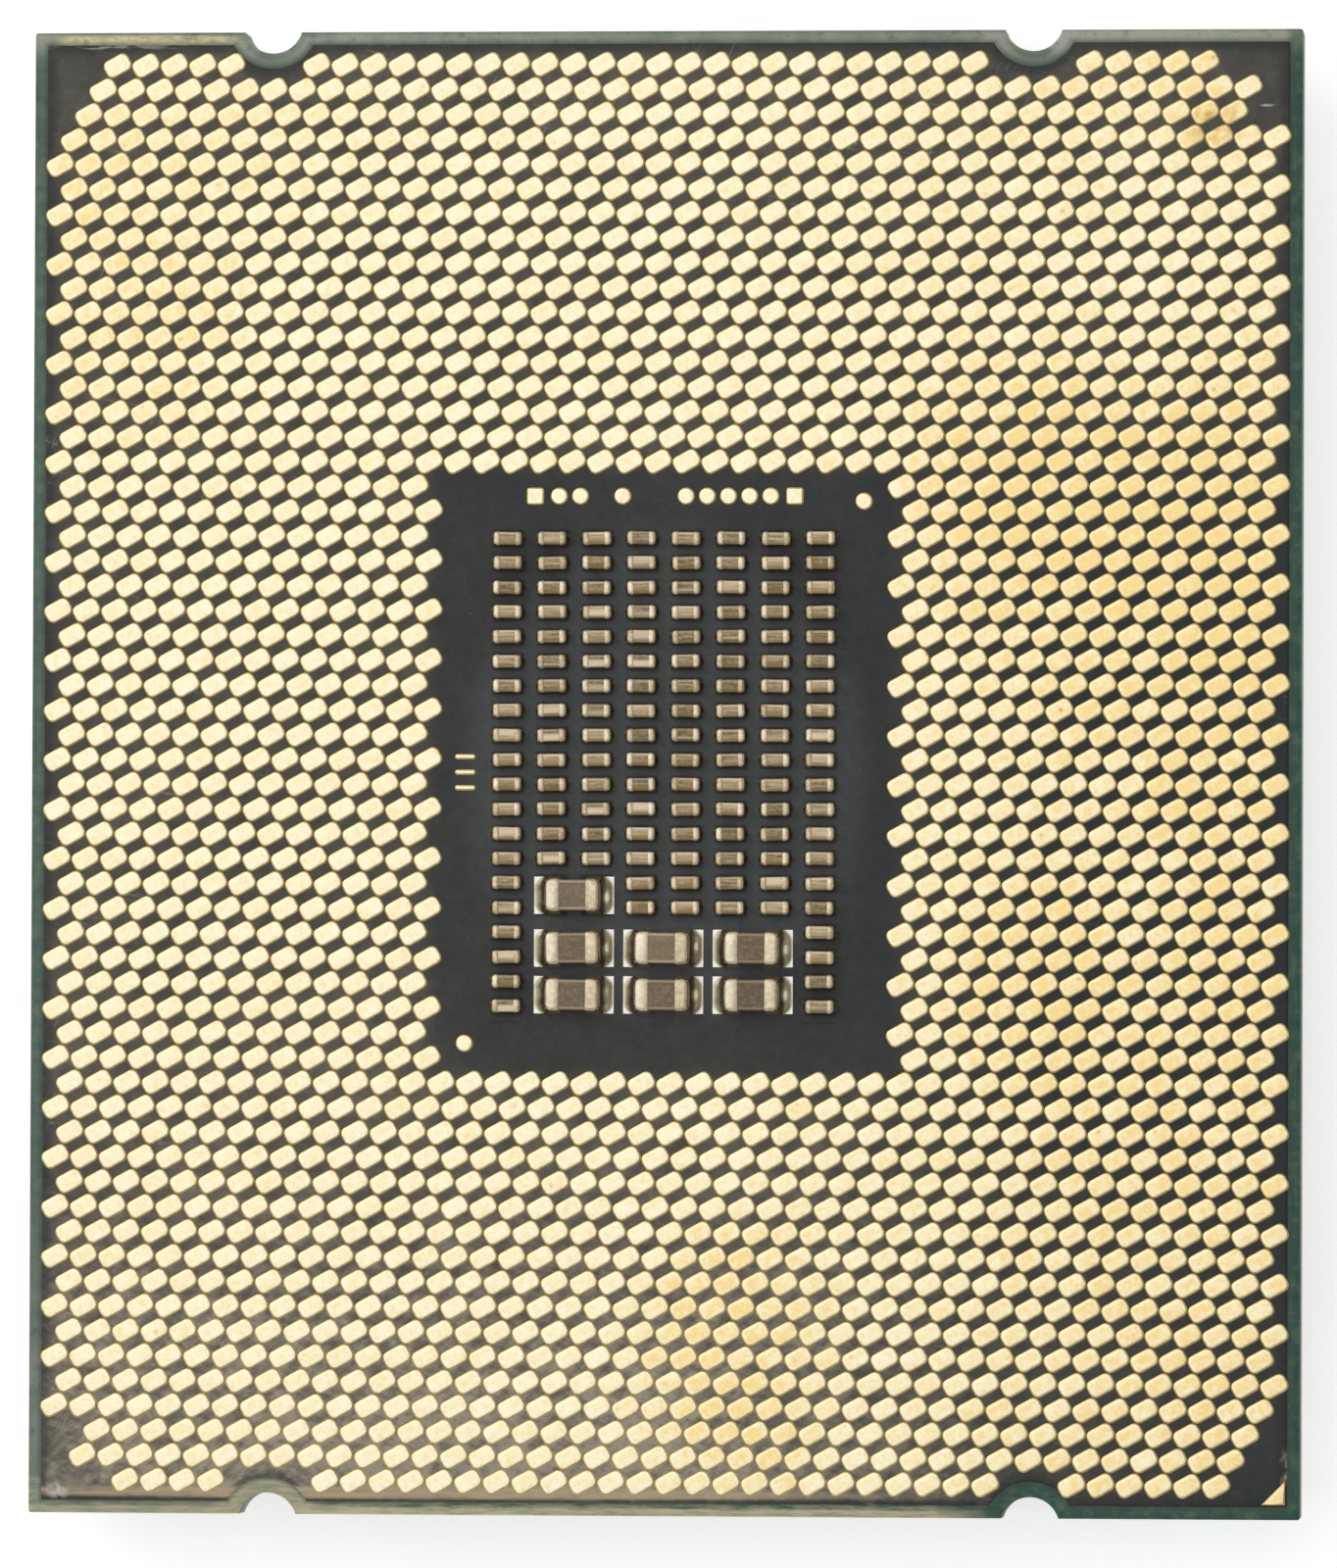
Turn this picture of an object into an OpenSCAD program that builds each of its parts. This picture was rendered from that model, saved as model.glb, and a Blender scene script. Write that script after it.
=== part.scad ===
// Processor package with a hexagonal grid of contact lands.
// It lies on its lid with the land side up. Sizes are in millimetres.
// The origin is the centre of the lid's outer face, +Y runs along the board and +Z points to the lands.

/* [Board] */
// Width of the board, along X
board_w = 45; // [40:0.5:56]
// Length of the board, along Y
board_l = 52.5; // [50:0.5:64]
// Thickness of the board
board_t = 1.9; // [1:0.1:2.6]
// Radius of the board's corners
board_corner_r = 0.1; // [0.05:0.05:0.8]

/* [Key notches] */
// Radius of the round notch cut into each short edge
notch_r = 1.05; // [0.8:0.05:1.4]
// Depth of a notch, measured in from the board's edge
notch_depth = 0.75; // [0.5:0.05:1]
// Distance of the left notches from the board's centre line
notch_left = 14; // [8:0.5:16]
// Distance of the right notches from the board's centre line
notch_right = 13; // [8:0.5:16]

/* [Mask] */
// Thickness of the dark mask film on the land side
mask_t = 0.03; // [0.02:0.01:0.1]
// Bare border left between the mask and the board's edge
mask_margin = 0.45; // [0.3:0.05:0.7]
// Bare border left round each notch
mask_notch_margin = 0.55; // [0.3:0.05:0.8]

/* [Lands] */
// Distance between neighbouring land centres
land_pitch = 1.016; // [0.95:0.002:1.2]
// Length of a land
land_l = 0.92; // [0.7:0.01:0.94]
// Width of a land
land_w = 0.6; // [0.4:0.01:0.66]
// Height of a land above the mask
land_t = 0.03; // [0.02:0.01:0.08]
// Turn of a land's long axis from X
land_angle = 30; // [20:1:40]
// Least distance from a side edge to the first land centre
land_edge_x = 0.85; // [0.8:0.05:1.6]
// Least distance from a short edge to the first land centre
land_edge_y = 1.1; // [1.05:0.05:2]
// Distance from a notch's centre line kept free of lands in the end rows
land_notch_clear = 1.25; // [1.2:0.05:1.6]
// Width of the window in the land grid
window_w = 16.2; // [15:0.1:20]
// Length of the window in the land grid
window_l = 21.1; // [20:0.1:26]

/* [Test pads and marks] */
// Width of a test pad and of a reference dot
pad_d = 0.56; // [0.4:0.02:0.66]
// Step between the round test pads
pad_pitch = 0.75; // [0.7:0.05:0.9]
// Distance of the test pad row from the window's end
pad_inset_y = 0.78; // [0.5:0.02:1.2]
// Gap between the last round pad and the square pad beside it
pad_square_gap = 0.29; // [0.1:0.01:0.5]
// Distance of a reference dot from the window's side
dot_inset_x = 1.05; // [0.6:0.05:1.4]
// Distance of a reference dot from the window's end
dot_inset_y = 0.96; // [0.6:0.05:1.2]
// Leg of the triangle in the first corner
corner_leg = 0.75; // [0.4:0.05:1]
// Gap between the triangle and the mask's edge
corner_inset = 0.1; // [0.05:0.05:0.3]
// Length of a side bar
bar_l = 0.7; // [0.4:0.05:0.9]
// Width of a side bar
bar_w = 0.14; // [0.08:0.02:0.24]
// Step between the side bars
bar_pitch = 0.55; // [0.4:0.05:0.8]

/* [Small capacitors] */
// Length of a small capacitor
small_l = 1; // [0.9:0.02:1.1]
// Width of a small capacitor
small_w = 0.48; // [0.4:0.02:0.6]
// Height of a small capacitor
small_h = 0.5; // [0.3:0.02:0.6]
// Length of a small capacitor's end terminal
small_end = 0.22; // [0.15:0.01:0.3]
// Wall of a small capacitor's end terminal
small_wall = 0.02; // [0.015:0.005:0.04]
// Step between the columns of small capacitors
small_pitch_x = 1.584; // [1.5:0.002:1.7]
// Step between the rows of small capacitors
small_pitch_y = 0.87; // [0.8:0.01:0.92]
// Rows in the two outer columns
rows_outer = 20; // [20:1:21]
// Rows in the two columns above the extra large capacitor
rows_short = 14; // [10:1:14]
// Rows in the other columns
rows_middle = 16; // [10:1:16]

/* [Large capacitors] */
// Length of a large capacitor
large_l = 1.95; // [1.7:0.05:2.1]
// Width of a large capacitor
large_w = 1.15; // [1:0.05:1.25]
// Height of a large capacitor
large_h = 0.9; // [0.6:0.05:1.3]
// Length of a large capacitor's end terminal
large_end = 0.5; // [0.3:0.05:0.6]
// Wall of a large capacitor's end terminal
large_wall = 0.03; // [0.02:0.01:0.06]
// Radius of a large capacitor's edges
large_edge_r = 0.1; // [0.08:0.02:0.2]
// Step between the columns of large capacitors
large_pitch_x = 3.168; // [3:0.002:3.4]
// Step between the rows of large capacitors
large_pitch_y = 1.65; // [1.5:0.05:1.8]
// Rise of the lowest large row above the last small row
large_rise = 0.4; // [0.2:0.05:0.5]

/* [Solder] */
// Thickness of solder under a terminal
solder_t = 0.04; // [0.02:0.01:0.08]
// Reach of the solder past a small capacitor's end
small_toe = 0.1; // [0.05:0.01:0.15]
// Height of the solder on a small capacitor's end
small_climb = 0.16; // [0.1:0.02:0.24]
// Width of a small solder joint
small_joint_w = 0.32; // [0.2:0.02:0.4]
// Reach of the solder past a large capacitor's end
large_toe = 0.44; // [0.3:0.02:0.5]
// Height of the solder on a large capacitor's end
large_climb = 0.5; // [0.4:0.02:0.55]
// Width of a large solder joint
large_joint_w = 1.32; // [1.25:0.01:1.4]
// Thickness of the solder's thin edges
solder_lip = 0.05; // [0.03:0.01:0.08]

/* [Die] */
// Width of the die
die_w = 19; // [12:0.5:22]
// Length of the die
die_l = 26; // [14:0.5:28]
// Thickness of the die
die_t = 0.72; // [0.5:0.02:0.8]
// Height of the bump layer between die and board
bump_t = 0.08; // [0.05:0.01:0.1]
// Reach of the underfill past the die at the board
underfill_reach = 1.2; // [0.6:0.1:1.6]
// Height of the underfill on the die's sides
underfill_climb = 0.4; // [0.2:0.05:0.45]
// Thickness of the metal between die and lid
interface_t = 0.25; // [0.15:0.01:0.4]

/* [Lid] */
// Width of the lid's flange
lid_w = 41; // [38:0.5:44]
// Length of the lid's flange
lid_l = 47.5; // [44:0.5:49]
// Thickness of the flange
flange_t = 1.9; // [1.6:0.1:2.4]
// Width of the raised outer face
plateau_w = 35.4; // [32:0.2:37]
// Length of the raised outer face
plateau_l = 38.6; // [35:0.2:42]
// Height of the raised outer face above the flange
plateau_h = 1.15; // [0.6:0.05:1.6]
// Radius of the lid's corners
lid_corner_r = 2; // [1:0.1:3]
// Bevel round the lid's outer edges
lid_bevel = 0.3; // [0.1:0.05:0.5]
// Width of the sealing rim round the lid's hollow
rim_w = 4; // [3:0.1:5]
// Thickness of the sealant under the rim
sealant_t = 0.15; // [0.08:0.01:0.25]
// Rim left free of sealant on each side
sealant_inset = 0.5; // [0.2:0.1:0.8]
// Diameter of the vent hole
vent_d = 0.8; // [0.5:0.1:1.2]
// Distance of the vent hole from the hollow's walls
vent_inset = 1.6; // [1.2:0.1:2.4]
// Leg of the triangle on the lid side
lid_mark_leg = 1.4; // [0.8:0.1:1.6]
// Distance of that triangle from the board's edges
lid_mark_inset = 0.4; // [0.2:0.1:0.5]

/* [Hidden] */
$fn = 48;

// Heights, counted up from the lid's outer face
flange_z = plateau_h;
sealant_z = flange_z + flange_t;
board_z = sealant_z + sealant_t;
die_z = board_z - bump_t - die_t;
interface_z = die_z - interface_t;
mask_z = board_z + board_t;
land_z = mask_z + mask_t;

// Hollow in the lid
hollow_w = lid_w - 2 * rim_w;
hollow_l = lid_l - 2 * rim_w;
hollow_r = lid_corner_r;

// Land grid: rows stand apart by the height of an equal-sided triangle on the pitch
row_pitch = land_pitch * sin(60);
columns = floor((board_w - 2 * land_edge_x) / land_pitch + 0.5);
rows = floor((board_l - 2 * land_edge_y) / row_pitch) + 1;
land_sides = 24;

// Round test pads, as steps from the middle of their row
round_pad_places = [-5, -4, -2, 1, 2, 3, 4, 5];
pad_row_y = window_l / 2 - pad_inset_y;
square_pad_x = max(round_pad_places) * pad_pitch + pad_d + pad_square_gap;
bar_count = 3;

// Bank of capacitors
small_columns = 8;
small_columns_short = [1, 2];
small_top_y = small_pitch_y * (rows_outer - 1) / 2;
large_count = 7;
large_row_y = [for (i = [0:1]) large_rise - small_top_y + i * large_pitch_y];
large_extra_y = small_top_y - (rows_short + 0.5) * small_pitch_y;

LAND_NODES = ["lands_upper", "lands_left", "lands_right", "lands_lower"];
LARGE_NUMBERS = [for (i = [1:large_count]) i];

// Flat rectangle with round corners
module rounded_rect(w, l, r) {
    square([w - 2 * r, l], center = true);
    square([w, l - 2 * r], center = true);
    for (x = [-1, 1], y = [-1, 1])
        translate([x * (w / 2 - r), y * (l / 2 - r)])
            circle(r);
}

// Board outline drawn in by a margin, with its four notches widened by their own margin
module board_outline(margin, notch_margin) {
    difference() {
        rounded_rect(board_w - 2 * margin, board_l - 2 * margin, board_corner_r);
        for (x = [-notch_left, notch_right], y = [-1, 1])
            translate([x, y * (board_l / 2 + notch_r - notch_depth)])
                circle(notch_r + notch_margin);
    }
}

// Draws its children at the right-hand end and again, mirrored, at the left-hand end
module at_both_ends() {
    children();
    mirror([1, 0, 0])
        children();
}

module substrate() {
    color("darkolivegreen")
        translate([0, 0, board_z])
            linear_extrude(board_t)
                board_outline(0, 0);
}

module land_side_mask() {
    color("darkslategray")
        translate([0, 0, mask_z])
            linear_extrude(mask_t)
                board_outline(mask_margin, mask_notch_margin);
}

// Centre of the land at a row and column: alternate rows are shifted by half a pitch
function land_x(row, column) =
    (column - (columns - 1) / 2 + (row % 2 == 0 ? -0.25 : 0.25)) * land_pitch;
function land_y(row) = ((rows - 1) / 2 - row) * row_pitch;

// Rows counted in from the nearer short edge, and lands left out at each end of such a row
function rows_in(row) = min(row, rows - 1 - row);
function corner_skip(row) = rows_in(row) == 0 ? 2 : rows_in(row) <= 2 ? 1 : 0;
function columns_in(column) = min(column, columns - 1 - column);

function clear_of_corner(row, column) = columns_in(column) >= corner_skip(row);
function clear_of_notch(row, x) =
    rows_in(row) > 0
    || min(abs(x + notch_left), abs(x - notch_right)) > land_notch_clear;
function beside_window(y) = abs(y) < window_l / 2;
function clear_of_window(x, y) = abs(x) > window_w / 2 || !beside_window(y);

// The four fields of the grid round the window
function in_field(field, x, y) =
    field == "lands_upper" ? !beside_window(y) && y > 0 :
    field == "lands_lower" ? !beside_window(y) && y < 0 :
    field == "lands_left" ? beside_window(y) && x < 0 :
    beside_window(y) && x > 0;

function land_here(field, row, column) =
    let (x = land_x(row, column), y = land_y(row))
    in_field(field, x, y)
    && clear_of_corner(row, column)
    && clear_of_notch(row, x)
    && clear_of_window(x, y);

// Straight long sides and round ends
module land() {
    intersection() {
        cylinder(h = land_t, d = land_l, $fn = land_sides);
        translate([-land_l, -land_w / 2, 0])
            cube([2 * land_l, land_w, land_t]);
    }
}

module lands(field) {
    color("wheat")
        for (row = [0:rows - 1], column = [0:columns - 1])
            if (land_here(field, row, column))
                translate([land_x(row, column), land_y(row), land_z])
                    rotate(land_angle)
                        land();
}

module round_test_pads() {
    color("wheat")
        for (i = round_pad_places)
            translate([i * pad_pitch, pad_row_y, land_z])
                cylinder(h = land_t, d = pad_d);
}

module square_test_pads() {
    color("wheat")
        for (side = [-1, 1])
            translate([side * square_pad_x - pad_d / 2, pad_row_y - pad_d / 2, land_z])
                cube([pad_d, pad_d, land_t]);
}

module reference_dots() {
    color("wheat")
        for (side = [-1, 1])
            translate([side * (window_w / 2 - dot_inset_x), side * (window_l / 2 - dot_inset_y), land_z])
                cylinder(h = land_t, d = pad_d);
}

module corner_triangle() {
    inset = mask_margin + corner_inset;
    color("wheat")
        translate([board_w / 2 - inset, inset - board_l / 2, land_z])
            linear_extrude(land_t)
                polygon([[0, 0], [-corner_leg, 0], [0, corner_leg]]);
}

module side_bars() {
    color("wheat")
        for (i = [0:bar_count - 1])
            translate([
                dot_inset_x - window_w / 2 - bar_l / 2,
                (i - (bar_count - 1) / 2) * bar_pitch - bar_w / 2,
                land_z
            ])
                cube([bar_l, bar_w, land_t]);
}

// Rows of small capacitors in a column, counted from the left
function small_rows(column) =
    column == 0 || column == small_columns - 1 ? rows_outer :
    len(search(column, small_columns_short)) > 0 ? rows_short :
    rows_middle;

// Places its children at every small capacitor's seat
module at_small_capacitors() {
    for (column = [0:small_columns - 1])
        for (row = [0:small_rows(column) - 1])
            translate([
                (column - (small_columns - 1) / 2) * small_pitch_x,
                small_top_y - row * small_pitch_y,
                land_z
            ])
                children();
}

module small_block() {
    translate([small_wall - small_l / 2, small_wall - small_w / 2, solder_t + small_wall])
        cube([small_l - 2 * small_wall, small_w - 2 * small_wall, small_h - 2 * small_wall]);
}

// Metal cap drawn over the end of the ceramic block
module small_terminal() {
    difference() {
        translate([small_l / 2 - small_end, -small_w / 2, solder_t])
            cube([small_end, small_w, small_h]);
        small_block();
    }
}

// Solder under the terminal, with a sloped toe that climbs its end
module small_joint() {
    end = small_l / 2;
    translate([0, small_joint_w / 2, 0])
        rotate([90, 0, 0])
            linear_extrude(small_joint_w)
                polygon([
                    [end - small_end, 0],
                    [end + small_toe, 0],
                    [end, small_climb],
                    [end, solder_t],
                    [end - small_end, solder_t]
                ]);
}

module small_capacitor_bodies() {
    color("rosybrown")
        at_small_capacitors()
            small_block();
}

module small_capacitor_terminals() {
    color("tan")
        at_small_capacitors()
            at_both_ends()
                small_terminal();
}

module small_capacitor_joints() {
    color("silver")
        at_small_capacitors()
            at_both_ends()
                small_joint();
}

// Seats of the large capacitors: two full rows and one extra above the left column
function large_seat(i) =
    i == 1
    ? [-large_pitch_x, large_extra_y]
    : [((i - 2) % 3 - 1) * large_pitch_x, large_row_y[i < 5 ? 1 : 0]];

module at_large_capacitor(i) {
    translate([large_seat(i)[0], large_seat(i)[1], land_z])
        children();
}

// Bar along X that stands on its seat, with round long edges and round upright corners
module rounded_bar(l, w, h, r) {
    intersection() {
        translate([-l / 2, 0, h / 2])
            rotate([90, 0, 90])
                linear_extrude(l)
                    rounded_rect(w, h, r);
        linear_extrude(h)
            rounded_rect(l, w, r);
    }
}

module large_block() {
    translate([large_wall - large_l / 2, 0, solder_t + large_h / 2])
        rotate([90, 0, 90])
            linear_extrude(large_l - 2 * large_wall)
                rounded_rect(large_w - 2 * large_wall, large_h - 2 * large_wall, large_edge_r - large_wall);
}

module large_terminal() {
    difference() {
        intersection() {
            translate([0, 0, solder_t])
                rounded_bar(large_l, large_w, large_h, large_edge_r);
            translate([large_l / 2 - large_end, -large_w, 0])
                cube([large_l, 2 * large_w, 2 * large_h]);
        }
        large_block();
    }
}

// Solder under the terminal, with a hollow fillet that climbs its end
module large_joint() {
    end = large_l / 2;
    toe = end + large_toe;
    fillet_r = min(large_toe, large_climb) - solder_lip;
    translate([0, large_joint_w / 2, 0])
        rotate([90, 0, 0])
            linear_extrude(large_joint_w)
                difference() {
                    union() {
                        translate([end - large_end, 0])
                            square([large_end + large_toe, solder_t]);
                        translate([end, 0])
                            square([large_toe, large_climb]);
                    }
                    translate([toe, solder_lip + fillet_r])
                        circle(fillet_r);
                    translate([toe - fillet_r, solder_lip + fillet_r])
                        square([2 * fillet_r, large_climb]);
                }
}

module large_capacitor_body(i) {
    color("dimgray")
        at_large_capacitor(i)
            large_block();
}

module large_capacitor_terminals(i) {
    color("tan")
        at_large_capacitor(i)
            at_both_ends()
                large_terminal();
}

module large_capacitor_joints(i) {
    color("silver")
        at_large_capacitor(i)
            at_both_ends()
                large_joint();
}

// Upright section of a plate, bevelled along both of its lower edges
module bevelled_profile(width, h, bevel) {
    half = width / 2;
    polygon([
        [bevel - half, 0], [half - bevel, 0], [half, bevel],
        [half, h], [-half, h], [-half, bevel]
    ]);
}

// Plate with round corners and a bevel all round its lower edge
module bevelled_plate(w, l, h, r, bevel) {
    rotate([90, 0, 0])
        linear_extrude(l - 2 * r, center = true)
            bevelled_profile(w, h, bevel);
    rotate([90, 0, 90])
        linear_extrude(w - 2 * r, center = true)
            bevelled_profile(l, h, bevel);
    for (x = [-1, 1], y = [-1, 1])
        translate([x * (w / 2 - r), y * (l / 2 - r), 0])
            rotate_extrude()
                polygon([[0, 0], [r - bevel, 0], [r, bevel], [r, h], [0, h]]);
}

module die() {
    color("slategray")
        translate([-die_w / 2, -die_l / 2, die_z])
            cube([die_w, die_l, die_t]);
}

// Sloped profile of the underfill across one side of the die, its wide face at the board
module underfill_profile(width) {
    half = width / 2;
    polygon([
        [-half - underfill_reach, 0],
        [-half, -bump_t - underfill_climb],
        [half, -bump_t - underfill_climb],
        [half + underfill_reach, 0]
    ]);
}

module underfill() {
    color("darkkhaki")
        difference() {
            translate([0, 0, board_z])
                intersection() {
                    translate([0, die_l, 0])
                        rotate([90, 0, 0])
                            linear_extrude(2 * die_l)
                                underfill_profile(die_w);
                    translate([-die_w, 0, 0])
                        rotate([90, 0, 90])
                            linear_extrude(2 * die_w)
                                underfill_profile(die_l);
                }
            translate([-die_w / 2, -die_l / 2, interface_z])
                cube([die_w, die_l, interface_t + die_t]);
        }
}

module thermal_interface() {
    color("lightgray")
        translate([-die_w / 2, -die_l / 2, interface_z])
            cube([die_w, die_l, interface_t]);
}

module lid() {
    color("silver")
        difference() {
            union() {
                bevelled_plate(plateau_w, plateau_l, plateau_h, lid_corner_r, lid_bevel);
                translate([0, 0, flange_z])
                    bevelled_plate(lid_w, lid_l, flange_t, lid_corner_r, lid_bevel);
            }
            translate([0, 0, interface_z])
                linear_extrude(flange_t)
                    rounded_rect(hollow_w, hollow_l, hollow_r);
            translate([hollow_w / 2 - vent_inset, vent_inset - hollow_l / 2, -flange_t])
                cylinder(h = board_z + flange_t, d = vent_d);
        }
}

module lid_sealant() {
    color("black")
        translate([0, 0, sealant_z])
            linear_extrude(sealant_t)
                difference() {
                    rounded_rect(lid_w - 2 * sealant_inset, lid_l - 2 * sealant_inset, lid_corner_r);
                    rounded_rect(hollow_w + 2 * sealant_inset, hollow_l + 2 * sealant_inset, hollow_r);
                }
}

module lid_side_triangle() {
    color("wheat")
        translate([board_w / 2 - lid_mark_inset, lid_mark_inset - board_l / 2, board_z - land_t])
            linear_extrude(land_t)
                polygon([[0, 0], [-lid_mark_leg, 0], [0, lid_mark_leg]]);
}

substrate();
land_side_mask();
for (field = LAND_NODES)
    lands(field);
round_test_pads();
square_test_pads();
reference_dots();
corner_triangle();
side_bars();
small_capacitor_bodies();
small_capacitor_terminals();
small_capacitor_joints();
for (i = LARGE_NUMBERS)
    large_capacitor_body(i);
for (i = LARGE_NUMBERS)
    large_capacitor_terminals(i);
for (i = LARGE_NUMBERS)
    large_capacitor_joints(i);
die();
underfill();
thermal_interface();
lid();
lid_sealant();
lid_side_triangle();
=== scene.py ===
"""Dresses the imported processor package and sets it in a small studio.

The package lies on its lid with the land side up, in the frame's own axes and in metres.
"""

import logging
import math
import random
from dataclasses import dataclass
from enum import Enum
from functools import partial, reduce
from typing import Any, Callable, Iterable, Sequence

import bmesh
import bpy
from mathutils import Euler, Matrix, Vector


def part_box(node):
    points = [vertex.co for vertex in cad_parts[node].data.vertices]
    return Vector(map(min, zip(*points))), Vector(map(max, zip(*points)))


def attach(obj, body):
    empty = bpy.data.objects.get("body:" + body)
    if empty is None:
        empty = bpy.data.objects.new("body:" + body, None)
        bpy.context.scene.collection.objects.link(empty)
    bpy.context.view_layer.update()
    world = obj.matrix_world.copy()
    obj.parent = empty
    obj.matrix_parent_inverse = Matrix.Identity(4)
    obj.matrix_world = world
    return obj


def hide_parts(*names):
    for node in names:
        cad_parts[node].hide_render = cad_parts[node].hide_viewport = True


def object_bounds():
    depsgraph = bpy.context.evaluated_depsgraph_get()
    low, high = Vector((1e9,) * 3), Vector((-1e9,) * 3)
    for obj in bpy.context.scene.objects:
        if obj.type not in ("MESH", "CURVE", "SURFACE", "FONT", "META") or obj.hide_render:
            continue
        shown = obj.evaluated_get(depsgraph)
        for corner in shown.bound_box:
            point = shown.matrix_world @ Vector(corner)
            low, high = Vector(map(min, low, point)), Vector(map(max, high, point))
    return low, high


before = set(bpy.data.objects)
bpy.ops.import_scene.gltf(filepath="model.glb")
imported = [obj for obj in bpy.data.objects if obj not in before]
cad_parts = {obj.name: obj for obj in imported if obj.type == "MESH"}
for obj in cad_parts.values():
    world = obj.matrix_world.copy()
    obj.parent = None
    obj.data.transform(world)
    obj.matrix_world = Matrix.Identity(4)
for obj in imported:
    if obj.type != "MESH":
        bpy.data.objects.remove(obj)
CAD_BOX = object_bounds()

LOG = logging.getLogger("processor_package")
MM = 0.001
BODY = "root"
WELD = 1e-7
LARGE_CAPACITORS = 7
WHITE = (1.0, 1.0, 1.0)

Colour = tuple[float, float, float]
Point = tuple[float, float]
Pair = tuple[float, float]
Socket = bpy.types.NodeSocket
Outline = Callable[[float], list[Point]]


class Slot(Enum):
    """Material slots of the record."""

    BOARD = "board"
    MASK = "mask"
    GOLD = "gold"
    SMALL_CERAMIC = "small_ceramic"
    LARGE_CERAMIC = "large_ceramic"
    TERMINAL = "terminal"
    SOLDER = "solder"
    SILICON = "silicon"
    RESIN = "resin"
    INTERFACE_METAL = "interface_metal"
    LID_PLATING = "lid_plating"
    SEALANT = "sealant"


class Effect(Enum):
    """Surface effects that more than one finish uses."""

    GRAIN = "fine_grain"
    BLOTCHES = "blotches"
    SPECKS = "specks"
    SCRATCHES = "scratches"
    PATCH = "soft_patch"


@dataclass(frozen=True)
class Spot:
    """Soft oval patch on the board, in millimetres, solid out to a share of its half size."""

    x: float
    y: float
    half_x: float
    half_y: float
    solid: float = 0.15


class NodeSheet:
    """Adds and joins the nodes of one material or shared effect."""

    def __init__(self, tree: bpy.types.NodeTree) -> None:
        """Starts with an empty tree."""
        self.tree = tree
        tree.nodes.clear()

    def lie(self, at: Socket) -> None:
        """Sets the place on the surface, in millimetres, that the effects use."""
        self.at = at
        self.x, self.y, _ = self.axes(at)

    def add(self, kind: str, inputs: dict[Any, Any] | None = None, **settings: Any) -> bpy.types.Node:
        """Adds a node.

        Args:
            kind: Blender's name for the node.
            inputs: sockets or plain values for its inputs, by name or number.
            settings: values of the node's own properties.

        Returns:
            The new node.
        """
        node = self.tree.nodes.new(kind)
        for name, value in settings.items():
            setattr(node, name, value)
        for key, value in (inputs or {}).items():
            self.feed(node.inputs[key], value)
        return node

    def feed(self, socket: Socket, value: Any) -> None:
        """Joins an input to a socket, or sets a plain value on it.

        Args:
            socket: the input.
            value: another node's output, a number, a vector or a colour.
        """
        if isinstance(value, bpy.types.NodeSocket):
            self.tree.links.new(value, socket)
        elif socket.type == "RGBA":
            socket.default_value = (*value, 1.0)
        else:
            socket.default_value = value

    def math(self, operation: str, *values: Any, clamp: bool = False) -> Socket:
        """Works a sum on one, two or three values and returns its socket."""
        node = self.add("ShaderNodeMath", dict(enumerate(values)), operation=operation, use_clamp=clamp)
        return node.outputs[0]

    def times(self, *values: Any) -> Socket:
        """Multiplies two or more values."""
        return reduce(partial(self.math, "MULTIPLY"), values)

    def plus(self, *values: Any) -> Socket:
        """Adds two or more values."""
        return reduce(partial(self.math, "ADD"), values)

    def most(self, *values: Any) -> Socket:
        """Takes the greatest of two or more values."""
        return reduce(partial(self.math, "MAXIMUM"), values)

    def scaled(self, value: Any, factor: Any, offset: Any, clamp: bool = False) -> Socket:
        """Multiplies a value by a factor and adds an offset."""
        return self.math("MULTIPLY_ADD", value, factor, offset, clamp=clamp)

    def away(self, value: Any, middle: Any = 0.0) -> Socket:
        """Distance of a value from a middle one."""
        return self.math("ABSOLUTE", self.math("SUBTRACT", value, middle))

    def mix(self, share: Any, first: Any, second: Any) -> Socket:
        """Mixes two colours by a share and returns the socket of the result."""
        node = self.add("ShaderNodeMix", {0: share, 6: first, 7: second}, data_type="RGBA")
        return node.outputs[2]

    def fade(self, value: Any, low: Any, high: Any, start: float = 0.0, end: float = 1.0) -> Socket:
        """Eases a value from one range to another.

        Args:
            value: the value to ease.
            low: where the change begins.
            high: where the change ends.
            start: the result below low.
            end: the result above high.

        Returns:
            The socket of the eased value.
        """
        node = self.add(
            "ShaderNodeMapRange",
            {"Value": value, "From Min": low, "From Max": high, "To Min": start, "To Max": end},
            interpolation_type="SMOOTHSTEP",
        )
        return node.outputs[0]

    def noise(self, at: Socket, scale: Any, detail: float = 3.0, rough: float = 0.5) -> Socket:
        """Adds a cloud noise and returns its value."""
        inputs = {"Vector": at, "Scale": scale, "Detail": detail, "Roughness": rough}
        return self.add("ShaderNodeTexNoise", inputs).outputs[0]

    def lines(
        self, stretch: Sequence[float], scale: float,
        detail: float = 3.0, rough: float = 0.5, turn: float = 0.0,
    ) -> Socket:
        """Adds a cloud noise that is drawn out into lines.

        Args:
            stretch: how fine the noise is along each axis.
            scale: how fine it is in all.
            detail: its steps of detail.
            rough: the share of each finer step.
            turn: the lines' turn about Z, in degrees.

        Returns:
            The socket of the noise.
        """
        angle = (0.0, 0.0, math.radians(turn))
        turned = self.add("ShaderNodeMapping", {"Vector": self.at, "Rotation": angle}).outputs[0]
        drawn = self.add("ShaderNodeMapping", {"Vector": turned, "Scale": tuple(stretch)}).outputs[0]
        return self.noise(drawn, scale, detail, rough)

    def attribute(self, name: str) -> Socket:
        """Reads a value that the mesh holds at each point."""
        return self.add("ShaderNodeAttribute", attribute_name=name).outputs["Fac"]

    def axes(self, at: Socket) -> tuple[Socket, Socket, Socket]:
        """Splits a place into its three coordinates."""
        split = self.add("ShaderNodeSeparateXYZ", {0: at})
        return split.outputs[0], split.outputs[1], split.outputs[2]

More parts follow.
